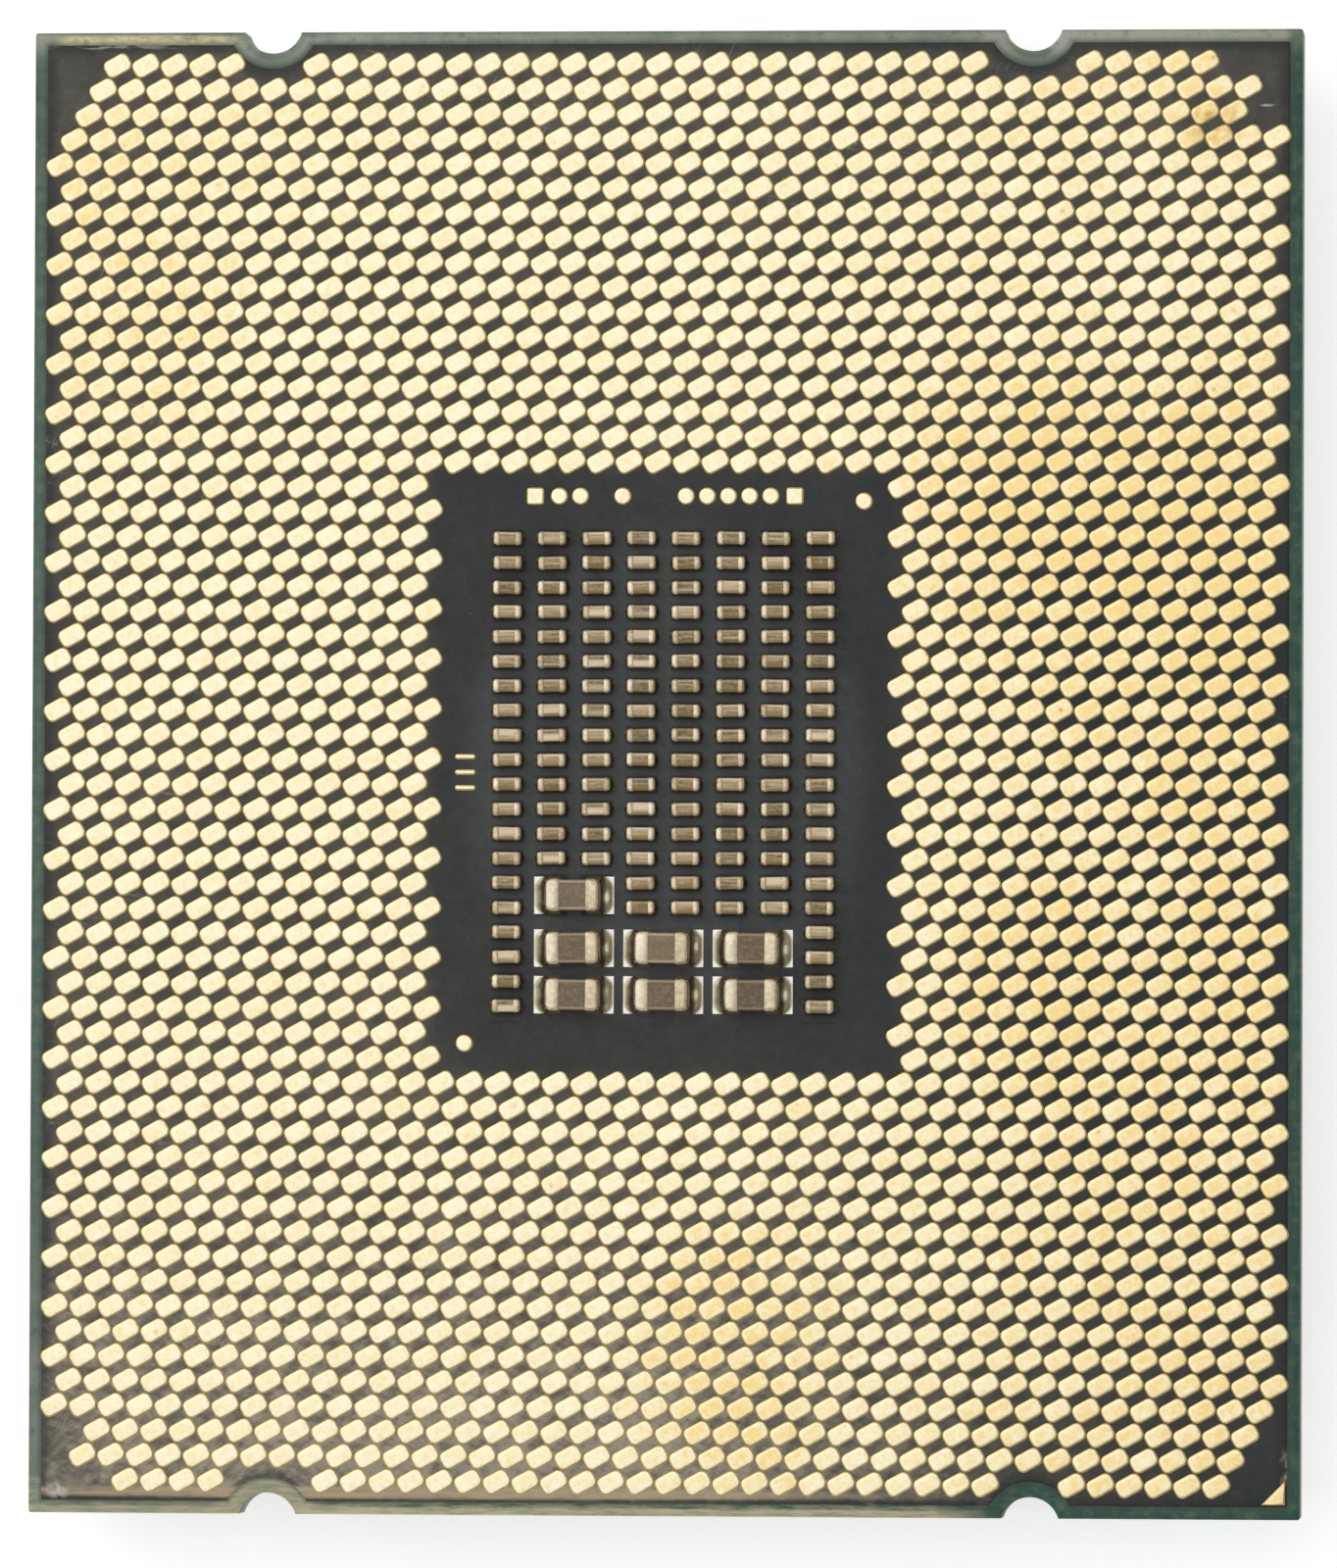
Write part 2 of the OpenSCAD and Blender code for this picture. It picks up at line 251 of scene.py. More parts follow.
    def effect(self, effect: Effect, **values: Any) -> Socket:
        """Places a shared effect.

        Args:
            effect: which effect.
            values: the effect's own inputs, by name.

        Returns:
            The socket of its mask.
        """
        node = self.add("ShaderNodeGroup", node_tree=EffectGroups.tree(effect))
        self.feed(node.inputs["Place"], self.at)
        for name, value in values.items():
            self.feed(node.inputs[name.replace("_", " ").title()], value)
        return node.outputs["Mask"]

    def spot(self, spot: Spot) -> Socket:
        """Places one soft patch."""
        return self.effect(Effect.PATCH, **vars(spot))

    def bump(self, height: Socket, depth: float) -> Socket:
        """Turns a height into a surface normal, with its depth in metres."""
        node = self.add("ShaderNodeBump", {"Height": height, "Distance": depth, "Strength": 1.0})
        return node.outputs["Normal"]

    def cover(self, shader: bpy.types.Node, colour: Socket, roughness: Socket, normal: Socket) -> None:
        """Feeds a shader its colour, roughness and normal."""
        for name, value in (("Base Color", colour), ("Roughness", roughness), ("Normal", normal)):
            self.feed(shader.inputs[name], value)


class EffectGroups:
    """Builds each shared effect once, as a shader node group."""

    INPUTS: dict[Effect, tuple[str, ...]] = {
        Effect.GRAIN: ("Scale",),
        Effect.BLOTCHES: ("Scale", "Low", "High"),
        Effect.SPECKS: ("Scale", "Radius", "Share"),
        Effect.SCRATCHES: ("Scale", "Width", "Turn"),
        Effect.PATCH: ("X", "Y", "Half X", "Half Y", "Solid"),
    }
    SCRATCH_STRETCH = (0.06, 1.0, 1.0)

    @classmethod
    def tree(cls, effect: Effect) -> bpy.types.NodeTree:
        """Returns the effect's node group, and builds it on its first use."""
        made = bpy.data.node_groups.get(effect.value)
        return made or cls._build(effect)

    @classmethod
    def _build(cls, effect: Effect) -> bpy.types.NodeTree:
        """Makes the group's sockets and calls the effect's own method for its nodes.

        Args:
            effect: which effect.

        Returns:
            The new node group.
        """
        tree = bpy.data.node_groups.new(effect.value, "ShaderNodeTree")
        tree.interface.new_socket("Place", in_out="INPUT", socket_type="NodeSocketVector")
        for name in cls.INPUTS[effect]:
            tree.interface.new_socket(name, in_out="INPUT", socket_type="NodeSocketFloat")
        tree.interface.new_socket("Mask", in_out="OUTPUT", socket_type="NodeSocketFloat")
        sheet = NodeSheet(tree)
        given = sheet.add("NodeGroupInput").outputs
        mask = getattr(cls, "_" + effect.name.lower())(sheet, given)
        sheet.add("NodeGroupOutput", {"Mask": mask})
        return tree

    @staticmethod
    def _grain(sheet: NodeSheet, given: Any) -> Socket:
        """Fine even grain."""
        return sheet.noise(given["Place"], given["Scale"], detail=4.0, rough=0.62)

    @staticmethod
    def _blotches(sheet: NodeSheet, given: Any) -> Socket:
        """Cloudy patches with soft borders."""
        cloud = sheet.noise(given["Place"], given["Scale"], detail=5.0, rough=0.58)
        return sheet.fade(cloud, given["Low"], given["High"])

    @staticmethod
    def _specks(sheet: NodeSheet, given: Any) -> Socket:
        """Small round spots in a share of the cells of a pattern.

        Args:
            sheet: the group's nodes.
            given: the group's inputs.

        Returns:
            The socket of the mask.
        """
        cells = sheet.add("ShaderNodeTexVoronoi", {"Vector": given["Place"], "Scale": given["Scale"]})
        spot = sheet.fade(cells.outputs["Distance"], given["Radius"], 0.0)
        pick = sheet.add("ShaderNodeSeparateColor", {0: cells.outputs["Color"]}).outputs[0]
        return sheet.times(spot, sheet.math("LESS_THAN", pick, given["Share"]))

    @classmethod
    def _scratches(cls, sheet: NodeSheet, given: Any) -> Socket:
        """Short broken hairlines that run one way.

        Args:
            sheet: the group's nodes.
            given: the group's inputs.

        Returns:
            The socket of the mask.
        """
        turn = sheet.add("ShaderNodeCombineXYZ", {2: given["Turn"]}).outputs[0]
        turned = sheet.add("ShaderNodeMapping", {"Vector": given["Place"], "Rotation": turn}).outputs[0]
        drawn = sheet.add("ShaderNodeMapping", {"Vector": turned, "Scale": cls.SCRATCH_STRETCH}).outputs[0]
        off_line = sheet.away(sheet.noise(drawn, given["Scale"], detail=2.0), 0.5)
        broken = sheet.fade(sheet.noise(given["Place"], 0.5, detail=3.0), 0.52, 0.66)
        return sheet.times(sheet.fade(off_line, given["Width"], 0.0), broken)

    @staticmethod
    def _patch(sheet: NodeSheet, given: Any) -> Socket:
        """One soft oval patch, solid out to a share of its half size.

        Args:
            sheet: the group's nodes.
            given: the group's inputs.

        Returns:
            The socket of the mask.
        """
        x, y, _ = sheet.axes(given["Place"])
        across = sheet.math("DIVIDE", sheet.math("SUBTRACT", x, given["X"]), given["Half X"])
        along = sheet.math("DIVIDE", sheet.math("SUBTRACT", y, given["Y"]), given["Half Y"])
        square = sheet.plus(sheet.times(across, across), sheet.times(along, along))
        return sheet.fade(sheet.math("SQRT", square), 1.0, given["Solid"])


@dataclass(frozen=True)
class Finish:
    """Base of the finishes: makes its material on first use."""

    name: str
    slot: Slot

    def material(self) -> bpy.types.Material:
        """Returns the finish's material, made on its first use.

        Returns:
            The material.
        """
        made = bpy.data.materials.get(self.name)
        if made:
            return made
        made = bpy.data.materials.new(self.name)
        made.use_nodes = True
        sheet = NodeSheet(made.node_tree)
        shader = sheet.add("ShaderNodeBsdfPrincipled")
        sheet.add("ShaderNodeOutputMaterial", {"Surface": shader.outputs["BSDF"]})
        place = sheet.add("ShaderNodeTexCoord").outputs["Object"]
        scaled = sheet.add("ShaderNodeVectorMath", {0: place, "Scale": 1 / MM}, operation="SCALE")
        sheet.lie(scaled.outputs[0])
        self.lay(sheet, shader)
        return made

    def lay(self, sheet: NodeSheet, shader: bpy.types.Node) -> None:
        """Lays the finish's nodes.

        Args:
            sheet: the material's nodes.
            shader: the Principled shader that they feed.
        """
        raise NotImplementedError


@dataclass(frozen=True)
class GoldPlate(Finish):
    """Soft gold plating, pale where it is fresh and tan where it has tarnished."""

    name: str = "gold_plate"
    slot: Slot = Slot.GOLD
    fresh: Colour = (0.925, 0.884, 0.678)
    tarnished: Colour = (0.885, 0.675, 0.285)
    speck: Colour = (0.55, 0.32, 0.10)
    stain: Colour = (0.50, 0.27, 0.09)
    # deeper orange of the painted shade on each land's sloped skirt
    skirt: Colour = (0.87, 0.59, 0.12)
    tarnish_spots: tuple[tuple[Spot, float], ...] = (
        (Spot(15.0, 9.0, 9.0, 7.0), 0.46),
        (Spot(20.0, 2.0, 4.0, 12.0), 0.24),
        (Spot(13.5, -7.5, 5.0, 5.0), 0.38),
        (Spot(2.5, -21.0, 5.0, 8.0), 0.50),
        (Spot(-19.5, 18.0, 7.0, 9.0), 0.32),
        (Spot(-14.0, 22.5, 8.0, 4.0), 0.14),
        (Spot(18.0, 19.0, 9.0, 8.0), -0.30),
        (Spot(19.3, 22.9, 2.2, 1.6), 0.60),
        (Spot(21.5, -25.3, 1.2, 1.2), 1.1),
    )
    corner_stain: Spot = Spot(19.4, 23.0, 1.5, 1.1, 0.1)
    grain_depth: float = 0.0016 * MM

    def tarnish(self, sheet: NodeSheet) -> Socket:
        """Maps where the plating has tarnished: the right side, and patches low down and at the corners.

        Args:
            sheet: the material's nodes.

        Returns:
            The socket of the tarnish, from none to full.
        """
        total = sheet.fade(sheet.x, 1.0, 21.0, 0.20, 0.58)
        for spot, amount in self.tarnish_spots:
            total = sheet.scaled(sheet.spot(spot), amount, total)
        cloud = sheet.effect(Effect.BLOTCHES, scale=0.33, low=0.25, high=0.75)
        return sheet.math("MULTIPLY", total, sheet.scaled(cloud, 0.55, 0.725), clamp=True)

    def lay(self, sheet: NodeSheet, shader: bpy.types.Node) -> None:
        """Lays pale gold with tarnish, stains in each land's middle, brown specks and painted shade on the
        sloped skirt.

        Args:
            sheet: the material's nodes.
            shader: the Principled shader that they feed.
        """
        tone, heart, skirt = (sheet.attribute(name) for name in ("tone", "heart", "skirt"))
        tarnish = self.tarnish(sheet)
        uneven = sheet.scaled(tone, 0.24, -0.07)
        tarnish = sheet.plus(tarnish, sheet.times(uneven, sheet.plus(tarnish, 0.25)))
        mottle = sheet.effect(Effect.BLOTCHES, scale=3.2, low=0.3, high=0.72)
        worn_heart = sheet.times(heart, sheet.scaled(mottle, 0.9, 0.35))
        depth = sheet.math("MULTIPLY", tarnish, sheet.scaled(worn_heart, 1.25, 0.24), clamp=True)
        fleck = sheet.fade(sheet.effect(Effect.GRAIN, scale=6.5), 0.42, 0.68)
        depth = sheet.math("ADD", sheet.scaled(fleck, 0.44, -0.05), depth, clamp=True)
        colour = sheet.mix(depth, self.fresh, self.tarnished)
        specks = sheet.effect(Effect.SPECKS, scale=1.5, radius=0.2, share=0.11)
        dots = sheet.effect(Effect.SPECKS, scale=3.7, radius=0.22, share=0.16)
        specks = sheet.most(specks, sheet.times(dots, 0.6))
        colour = sheet.mix(sheet.times(specks, sheet.scaled(depth, 0.8, 0.14)), colour, self.speck)
        uneven_stain = sheet.effect(Effect.BLOTCHES, scale=1.9, low=0.36, high=0.62)
        stained = sheet.times(sheet.spot(self.corner_stain), uneven_stain, 0.75)
        colour = sheet.mix(stained, colour, self.stain)
        grain = sheet.effect(Effect.GRAIN, scale=22.0)
        # painted shade on the skirt and shoulder of each pad
        sheet.cover(
            shader, sheet.mix(skirt, colour, self.skirt),
            sheet.fade(grain, 0.25, 0.75, 0.26, 0.42), sheet.bump(grain, self.grain_depth),
        )
        shader.inputs["Metallic"].default_value = 1.0


@dataclass(frozen=True)
class MaskFilm(Finish):
    """Dark slate mask with a painted sheen to the left, above and below, scraped low down, with painted
    shade and shadow, dust and hairlines.
    """

    name: str = "mask_film"
    slot: Slot = Slot.MASK
    slate: Colour = (0.030, 0.037, 0.039)
    # pale warm colour that the painted sheen and the scrapes lift the slate towards
    worn: Colour = (0.46, 0.405, 0.315)
    # warm colour of the painted reflection along the lower edge, and of the pale streak at the near right
    glow: Colour = (0.60, 0.47, 0.29)
    flux_film: Colour = (0.42, 0.455, 0.51)
    # dark colour of the painted shade on the film's lower rim
    soot: Colour = (0.050, 0.052, 0.046)
    pale: Colour = (0.70, 0.68, 0.62)
    # near black of the painted shadow round the small capacitors, also used for the pores
    halo: Colour = (0.010, 0.011, 0.008)
    window: Pair = (8.2, 10.7)
    bank_pitch: Pair = (1.584, 0.87)
    bank_half: Pair = (0.5, 0.24)
    bank_rows: int = 16
    halo_reach: float = 0.13
    halo_share: float = 0.7
    large_reach: float = 4.8
    # painted sheen: a brighter patch low at the left
    shine: Spot = Spot(-3.5, -24.5, 9.0, 5.0, 0.1)
    flux: Spot = Spot(0.0, 0.0, 7.8, 9.5, 0.78)
    flux_share: float = 0.10
    # painted reflection: a warm pale line along the lower edge
    warm_line: Spot = Spot(-9.0, -25.47, 20.0, 0.28, 0.5)
    edge_streak: Spot = Spot(21.96, -24.5, 0.22, 0.9, 0.2)
    corner_scuff: Spot = Spot(-21.45, -25.45, 0.55, 0.42, 0.1)
    # pale broken dashes along the film's rim at the top left
    chafed_rim: Spot = Spot(-19.6, 25.7, 2.8, 0.8, 0.3)
    nick: Spot = Spot(21.3, 23.55, 0.4, 0.07, 0.2)
    scrape_turns: Pair = (24.0, -38.0)
    peel_depth: float = 0.0035 * MM

    def haze(self, sheet: NodeSheet) -> Socket:
        """Maps the painted sheen on the mask: least at the right, most at the lower middle.

        Args:
            sheet: the material's nodes.

        Returns:
            The socket of the painted sheen, from none to full.
        """
        x, y = sheet.x, sheet.y
        left = sheet.fade(x, 16.0, 2.0, 0.0, 0.165)
        above = sheet.fade(y, 5.0, 17.0, 0.0, 0.13)
        top = sheet.fade(y, 17.0, 23.0, 0.0, 0.055)
        lowest = sheet.times(sheet.fade(y, -14.0, -27.0, 0.0, 0.50), sheet.fade(x, -24.0, -8.0, 0.7, 1.0))
        below = sheet.plus(sheet.fade(y, -2.0, -16.0, 0.0, 0.10), lowest)
        below = sheet.times(below, sheet.fade(x, 14.0, -2.0))
        near = sheet.times(sheet.fade(y, -10.0, -22.0, 0.0, 0.10), sheet.fade(x, 21.0, 14.0, 0.4, 1.0))
        return sheet.plus(sheet.most(left, above), top, near, below)

    def bank_halo(self, sheet: NodeSheet) -> Socket:
        """Maps the painted shadow close round each small capacitor of the bank.

        Args:
            sheet: the material's nodes.

        Returns:
            The socket of the painted shadow, from none to full.
        """
        x, y = sheet.x, sheet.y
        (pitch_x, pitch_y), (half_x, half_y) = self.bank_pitch, self.bank_half
        bank_low, bank_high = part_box("small_capacitor_terminals")
        top = bank_high.y / MM - half_y
        foot = bank_low.y / MM - 1.5 * half_y
        squares = []
        from_top = sheet.math("SUBTRACT", y, top - pitch_y / 2)
        for place, pitch, half in ((x, pitch_x, half_x), (from_top, pitch_y, half_y)):
            off = sheet.away(sheet.math("WRAP", place, pitch, 0.0), pitch / 2)
            past = sheet.most(sheet.math("SUBTRACT", off, half), 0.0)
            squares.append(sheet.times(past, past))
        near = sheet.fade(sheet.math("SQRT", sheet.plus(*squares)), self.halo_reach, 0.0)
        aside = sheet.math("ABSOLUTE", x)
        last = top - (self.bank_rows - 0.5) * pitch_y
        among_large = sheet.times(
            sheet.math("LESS_THAN", aside, self.large_reach), sheet.math("LESS_THAN", y, last),
        )
        return sheet.times(
            near,
            sheet.math("LESS_THAN", aside, 4 * pitch_x),
            sheet.math("LESS_THAN", y, top + pitch_y / 2),
            sheet.math("GREATER_THAN", y, foot),
            sheet.math("SUBTRACT", 1.0, among_large),
        )

    def worn_colour(self, sheet: NodeSheet, rim: Socket, beyond: Socket) -> Socket:
        """Mixes slate with painted sheen, flux, scrapes, painted shade and a painted reflection along the
        lower edge, and painted shadow round the small capacitors.

        Args:
            sheet: the material's nodes.
            rim: how close a place lies to the film's edge.
            beyond: how far out of the middle window it lies.

        Returns:
            The socket of the colour.
        """
        x, y = sheet.x, sheet.y
        # painted sheen over the mask, weaker inside the window and towards the corners
        haze = sheet.scaled(sheet.spot(self.shine), 0.25, self.haze(sheet))
        haze = sheet.times(haze, sheet.fade(beyond, 0.96, 1.08, 0.3, 1.0))
        cloud = sheet.effect(Effect.BLOTCHES, scale=0.3, low=0.25, high=0.8)
        haze = sheet.math("MULTIPLY", haze, sheet.scaled(cloud, 0.6, 0.7), clamp=True)
        mottle = sheet.effect(Effect.BLOTCHES, scale=1.1, low=0.3, high=0.72)
        haze = sheet.times(haze, sheet.scaled(mottle, 0.5, 0.74))
        foot = sheet.times(sheet.fade(y, -24.6, -25.0), sheet.fade(x, 14.0, 9.0))
        # painted shade: the sheen fades towards the film's rim, so the rim reads darker
        haze = sheet.times(haze, sheet.fade(rim, sheet.scaled(foot, 0.5, 0.2), 1.0, 1.0, 0.35))
        low = sheet.times(sheet.fade(y, -9.0, -19.0), sheet.fade(x, 18.0, 10.0))
        for turn in self.scrape_turns:
            scrape = sheet.lines((0.8, 2.6, 1.0), 1.6, detail=6.0, rough=0.7, turn=turn)
            haze = sheet.scaled(haze, sheet.times(low, sheet.fade(scrape, 0.36, 0.62, -0.3, 0.24)), haze)
        outward = sheet.plus(sheet.math("ABSOLUTE", x), sheet.math("ABSOLUTE", y))
        haze = sheet.times(haze, sheet.fade(outward, 43.5, 46.5, 1.05, 0.76))
        colour = sheet.mix(haze, self.slate, self.worn)
        flux = sheet.times(sheet.spot(self.flux), self.flux_share)
        colour = sheet.mix(flux, colour, self.flux_film)
        nicks = sheet.effect(Effect.SPECKS, scale=1.7, radius=0.2, share=0.16)
        colour = sheet.mix(sheet.times(nicks, low, 0.6), colour, self.slate)
        pores = sheet.fade(sheet.effect(Effect.GRAIN, scale=3.2), 0.36, 0.64, 0.16, 0.0)
        colour = sheet.mix(pores, colour, self.halo)
        # painted shade: a dark band along the film's lower rim
        rim_shade_mask = sheet.times(sheet.fade(y, -25.60, -25.74, 0.0, 0.6), sheet.fade(x, 18.0, 8.0))
        colour = sheet.mix(rim_shade_mask, colour, self.soot)
        fibres = sheet.lines((0.3, 5.0, 1.0), 1.4, detail=5.0, rough=0.65)
        # painted reflection along the lower edge, with a pale streak at the right
        reflection = sheet.times(sheet.spot(self.warm_line), sheet.fade(fibres, 0.36, 0.6, 0.5, 1.0))
        broken = sheet.effect(Effect.BLOTCHES, scale=1.7, low=0.4, high=0.62)
        streak = sheet.times(sheet.spot(self.edge_streak), broken)
        colour = sheet.mix(sheet.most(reflection, streak), colour, self.glow)
        # painted shadow round the small capacitors
        return sheet.mix(sheet.times(self.bank_halo(sheet), self.halo_share), colour, self.halo)

    def marks(self, sheet: NodeSheet, rim: Socket, beyond: Socket) -> Socket:
        """Maps the pale marks: scuffs at the corners, dust specks and hairlines.

        Args:
            sheet: the material's nodes.
            rim: how close a place lies to the film's edge.
            beyond: how far out of the middle window it lies.

        Returns:
            The socket of the marks, from none to full.
        """
        rubbed = sheet.effect(Effect.BLOTCHES, scale=3.0, low=0.42, high=0.6)
        scuff = sheet.most(sheet.spot(self.corner_scuff), sheet.spot(self.nick))
        scuff = sheet.times(scuff, rubbed)
        dashes = sheet.lines((1.0, 6.0, 1.0), 1.3, detail=2.0)
        # pale broken dashes on the rim at the top left
        rim_dash_marks = sheet.times(
            sheet.spot(self.chafed_rim),
            sheet.fade(rim, 0.86, 0.97, 0.0, 0.4),
            sheet.fade(dashes, 0.48, 0.60),
        )
        dust = sheet.effect(Effect.SPECKS, scale=2.6, radius=0.09, share=0.055)
        hairlines = sheet.plus(
            sheet.effect(Effect.SCRATCHES, scale=2.4, width=0.012, turn=0.2),
            sheet.effect(Effect.SCRATCHES, scale=2.0, width=0.010, turn=-1.1),
        )
        hairlines = sheet.times(
            hairlines,
            sheet.fade(beyond, 1.2, 2.2, 0.0, 1.0),
            sheet.fade(sheet.x, 20.0, 8.0, 0.04, 0.2),
        )
        return sheet.most(scuff, rim_dash_marks, sheet.times(dust, 0.3), hairlines)

    def lay(self, sheet: NodeSheet, shader: bpy.types.Node) -> None:
        """Lays the worn colour with its pale marks over a faintly peeled surface.

        Args:
            sheet: the material's nodes.
            shader: the Principled shader that they feed.
        """
        rim = sheet.attribute("rim")
        beyond = sheet.most(*(
            sheet.math("DIVIDE", sheet.math("ABSOLUTE", place), half)
            for place, half in zip((sheet.x, sheet.y), self.window)
        ))
        marks = self.marks(sheet, rim, beyond)
        colour = sheet.mix(marks, self.worn_colour(sheet, rim, beyond), self.pale)
        peel = sheet.effect(Effect.GRAIN, scale=5.0)
        rough = sheet.scaled(marks, -0.2, sheet.fade(peel, 0.3, 0.7, 0.36, 0.5))
        sheet.cover(shader, colour, rough, sheet.bump(peel, self.peel_depth))
        shader.inputs["Specular IOR Level"].default_value = 0.22


@dataclass(frozen=True)
class BoardLaminate(Finish):
    """Green glass-filled board: resin faces and sawn edges."""

    name: str = "board_laminate"
    slot: Slot = Slot.BOARD
    deep: Colour = (0.038, 0.108, 0.075)
    pale: Colour = (0.46, 0.49, 0.39)
    straw: Colour = (0.90, 0.81, 0.47)
    shade: Colour = (0.022, 0.050, 0.040)
    edge: Colour = (0.060, 0.105, 0.072)
    fibre: Colour = (0.27, 0.33, 0.24)
    frayed: Colour = (0.72, 0.67, 0.42)
    low_left: Spot = Spot(-22.0, -26.5, 14.0, 14.0, 0.4)
    # painted highlight rings round the upper notches
    collars: tuple[Spot, ...] = (Spot(-14.0, 26.1, 2.1, 1.6, 0.8), Spot(13.0, 26.1, 2.1, 1.6, 0.8))
    worn_notch: Spot = Spot(-14.0, -25.7, 2.1, 1.0, 0.7)
    strip_x: Pair = (-21.6, -15.4)
    thread_depth: float = 0.008 * MM

    def lightness(self, sheet: NodeSheet, inner: Socket, land_side: Socket) -> Socket:
        """Maps where the land side's border is pale: at the top and the left, with a painted highlight ring
        round the upper notches.

        Args:
            sheet: the material's nodes.
            inner: how far a place lies from the edge towards the mask.
            land_side: one on the land side, nought elsewhere.

        Returns:
            The socket of the lightness, from none to full.
        """
        x, y = sheet.x, sheet.y
        top = sheet.times(
            sheet.fade(y, 25.0, 25.95),
            sheet.fade(x, 8.0, 18.0, 0.66, 1.22),
            sheet.fade(x, 22.2, 21.7, 0.3, 1.0),
            sheet.fade(y, 26.23, 26.12, 0.55, 1.0),
        )
        left = sheet.fade(x, 0.0, -22.0, 0.0, 0.12)
        light = sheet.scaled(sheet.spot(self.low_left), 0.26, sheet.plus(top, left))
        cloud = sheet.effect(Effect.BLOTCHES, scale=0.9, low=0.3, high=0.72)
        light = sheet.times(light, land_side)
        light = sheet.math("MULTIPLY", light, sheet.scaled(cloud, 0.6, 0.7), clamp=True)
        # painted highlight: a pale ring in the border round each upper notch
        for spot in self.collars:
            notch_highlight = sheet.times(sheet.spot(spot), sheet.fade(inner, 0.15, 0.55, 0.0, 0.30))
            light = sheet.scaled(notch_highlight, land_side, light, clamp=True)
        return light

    def face_colour(self, sheet: NodeSheet, land_side: Socket) -> Socket:
        """Mixes the colour of the board's flat faces: green resin over its weave, worn on the land side,
        with painted shade next to the mask.

        Args:
            sheet: the material's nodes.
            land_side: one on the land side, nought elsewhere.

        Returns:
            The socket of the colour.
        """
        x, y = sheet.x, sheet.y
        inner = sheet.attribute("inner")
        face = sheet.mix(self.lightness(sheet, inner, land_side), self.deep, self.pale)
        weft = sheet.lines((0.35, 6.0, 1.0), 1.5, detail=4.0, rough=0.65)
        warp = sheet.lines((6.0, 0.35, 1.0), 1.5, detail=4.0, rough=0.65)
        wider = sheet.math("SUBTRACT", sheet.math("ABSOLUTE", x), sheet.math("ABSOLUTE", y))
        beside = sheet.fade(wider, -4.0, -3.5)
        weave = sheet.add("ShaderNodeMix", {0: beside, 2: weft, 3: warp}).outputs[0]
        face = sheet.mix(sheet.fade(weave, 0.50, 0.80, 0.0, 0.32), face, self.fibre)
        # a pale straw strip along the top-left border, broken into streaks
        start, end = self.strip_x
        strip_breaks = sheet.lines((1.0, 5.0, 1.0), 2.4, detail=5.0, rough=0.65)
        strip = sheet.times(
            sheet.fade(x, start - 0.4, start + 0.4), sheet.fade(x, end + 0.5, end - 0.5),
            sheet.fade(y, 25.62, 25.78), sheet.fade(y, 26.20, 26.08),
            sheet.fade(strip_breaks, 0.34, 0.60, 0.5, 1.0), land_side,
        )
        face = sheet.mix(strip, face, self.straw)
        mottle = sheet.effect(Effect.GRAIN, scale=2.2)
        face = sheet.mix(sheet.fade(mottle, 0.46, 0.66, 0.0, 0.22), face, self.fibre)
        face = sheet.mix(sheet.fade(mottle, 0.46, 0.30, 0.0, 0.35), face, self.shade)
        fray = sheet.times(
            sheet.fade(x, 12.0, 9.5), sheet.fade(y, -24.8, -25.2),
            sheet.fade(x, -17.0, -15.0, 0.85, 1.0), land_side,
        )
        outer = sheet.most(sheet.fade(y, -25.93, -26.05), sheet.times(sheet.spot(self.worn_notch), 0.6))
        strands = sheet.lines((0.45, 4.0, 1.0), 2.0, detail=6.0, rough=0.75)
        strands = sheet.scaled(outer, 0.55, sheet.fade(strands, 0.36, 0.62, 0.0, 0.45))
        face = sheet.mix(sheet.times(fray, strands), face, self.frayed)
        # painted shade in the recess beside the mask's edge, narrower along the frayed lower edge
        recess = sheet.fade(inner, sheet.scaled(fray, 0.2, 0.35), 1.0, 0.0, 0.7)
        return sheet.mix(recess, face, self.shade)

    def lay(self, sheet: NodeSheet, shader: bpy.types.Node) -> None:
        """Lays the faces' colour, and streaks of glass fibre on the sawn edges.

        Args:
            sheet: the material's nodes.
            shader: the Principled shader that they feed.
        """
        facing = sheet.axes(sheet.add("ShaderNodeNewGeometry").outputs["True Normal"])[2]
        face = self.face_colour(sheet, sheet.fade(facing, 0.2, 0.7))
        threads = sheet.lines((1.0, 1.0, 5.0), 7.0, detail=5.0, rough=0.7)
        streaks = sheet.lines((0.3, 0.3, 8.0), 1.3, detail=4.0, rough=0.6)
        side = sheet.mix(sheet.fade(streaks, 0.44, 0.66, 0.0, 0.7), self.edge, self.fibre)
        side = sheet.mix(sheet.fade(threads, 0.5, 0.72, 0.0, 0.5), side, self.fibre)
        flat = sheet.fade(sheet.math("ABSOLUTE", facing), 0.2, 0.7)
        sheet.cover(
            shader, sheet.mix(flat, side, face),
            sheet.fade(threads, 0.3, 0.7, 0.38, 0.6), sheet.bump(threads, self.thread_depth),
        )


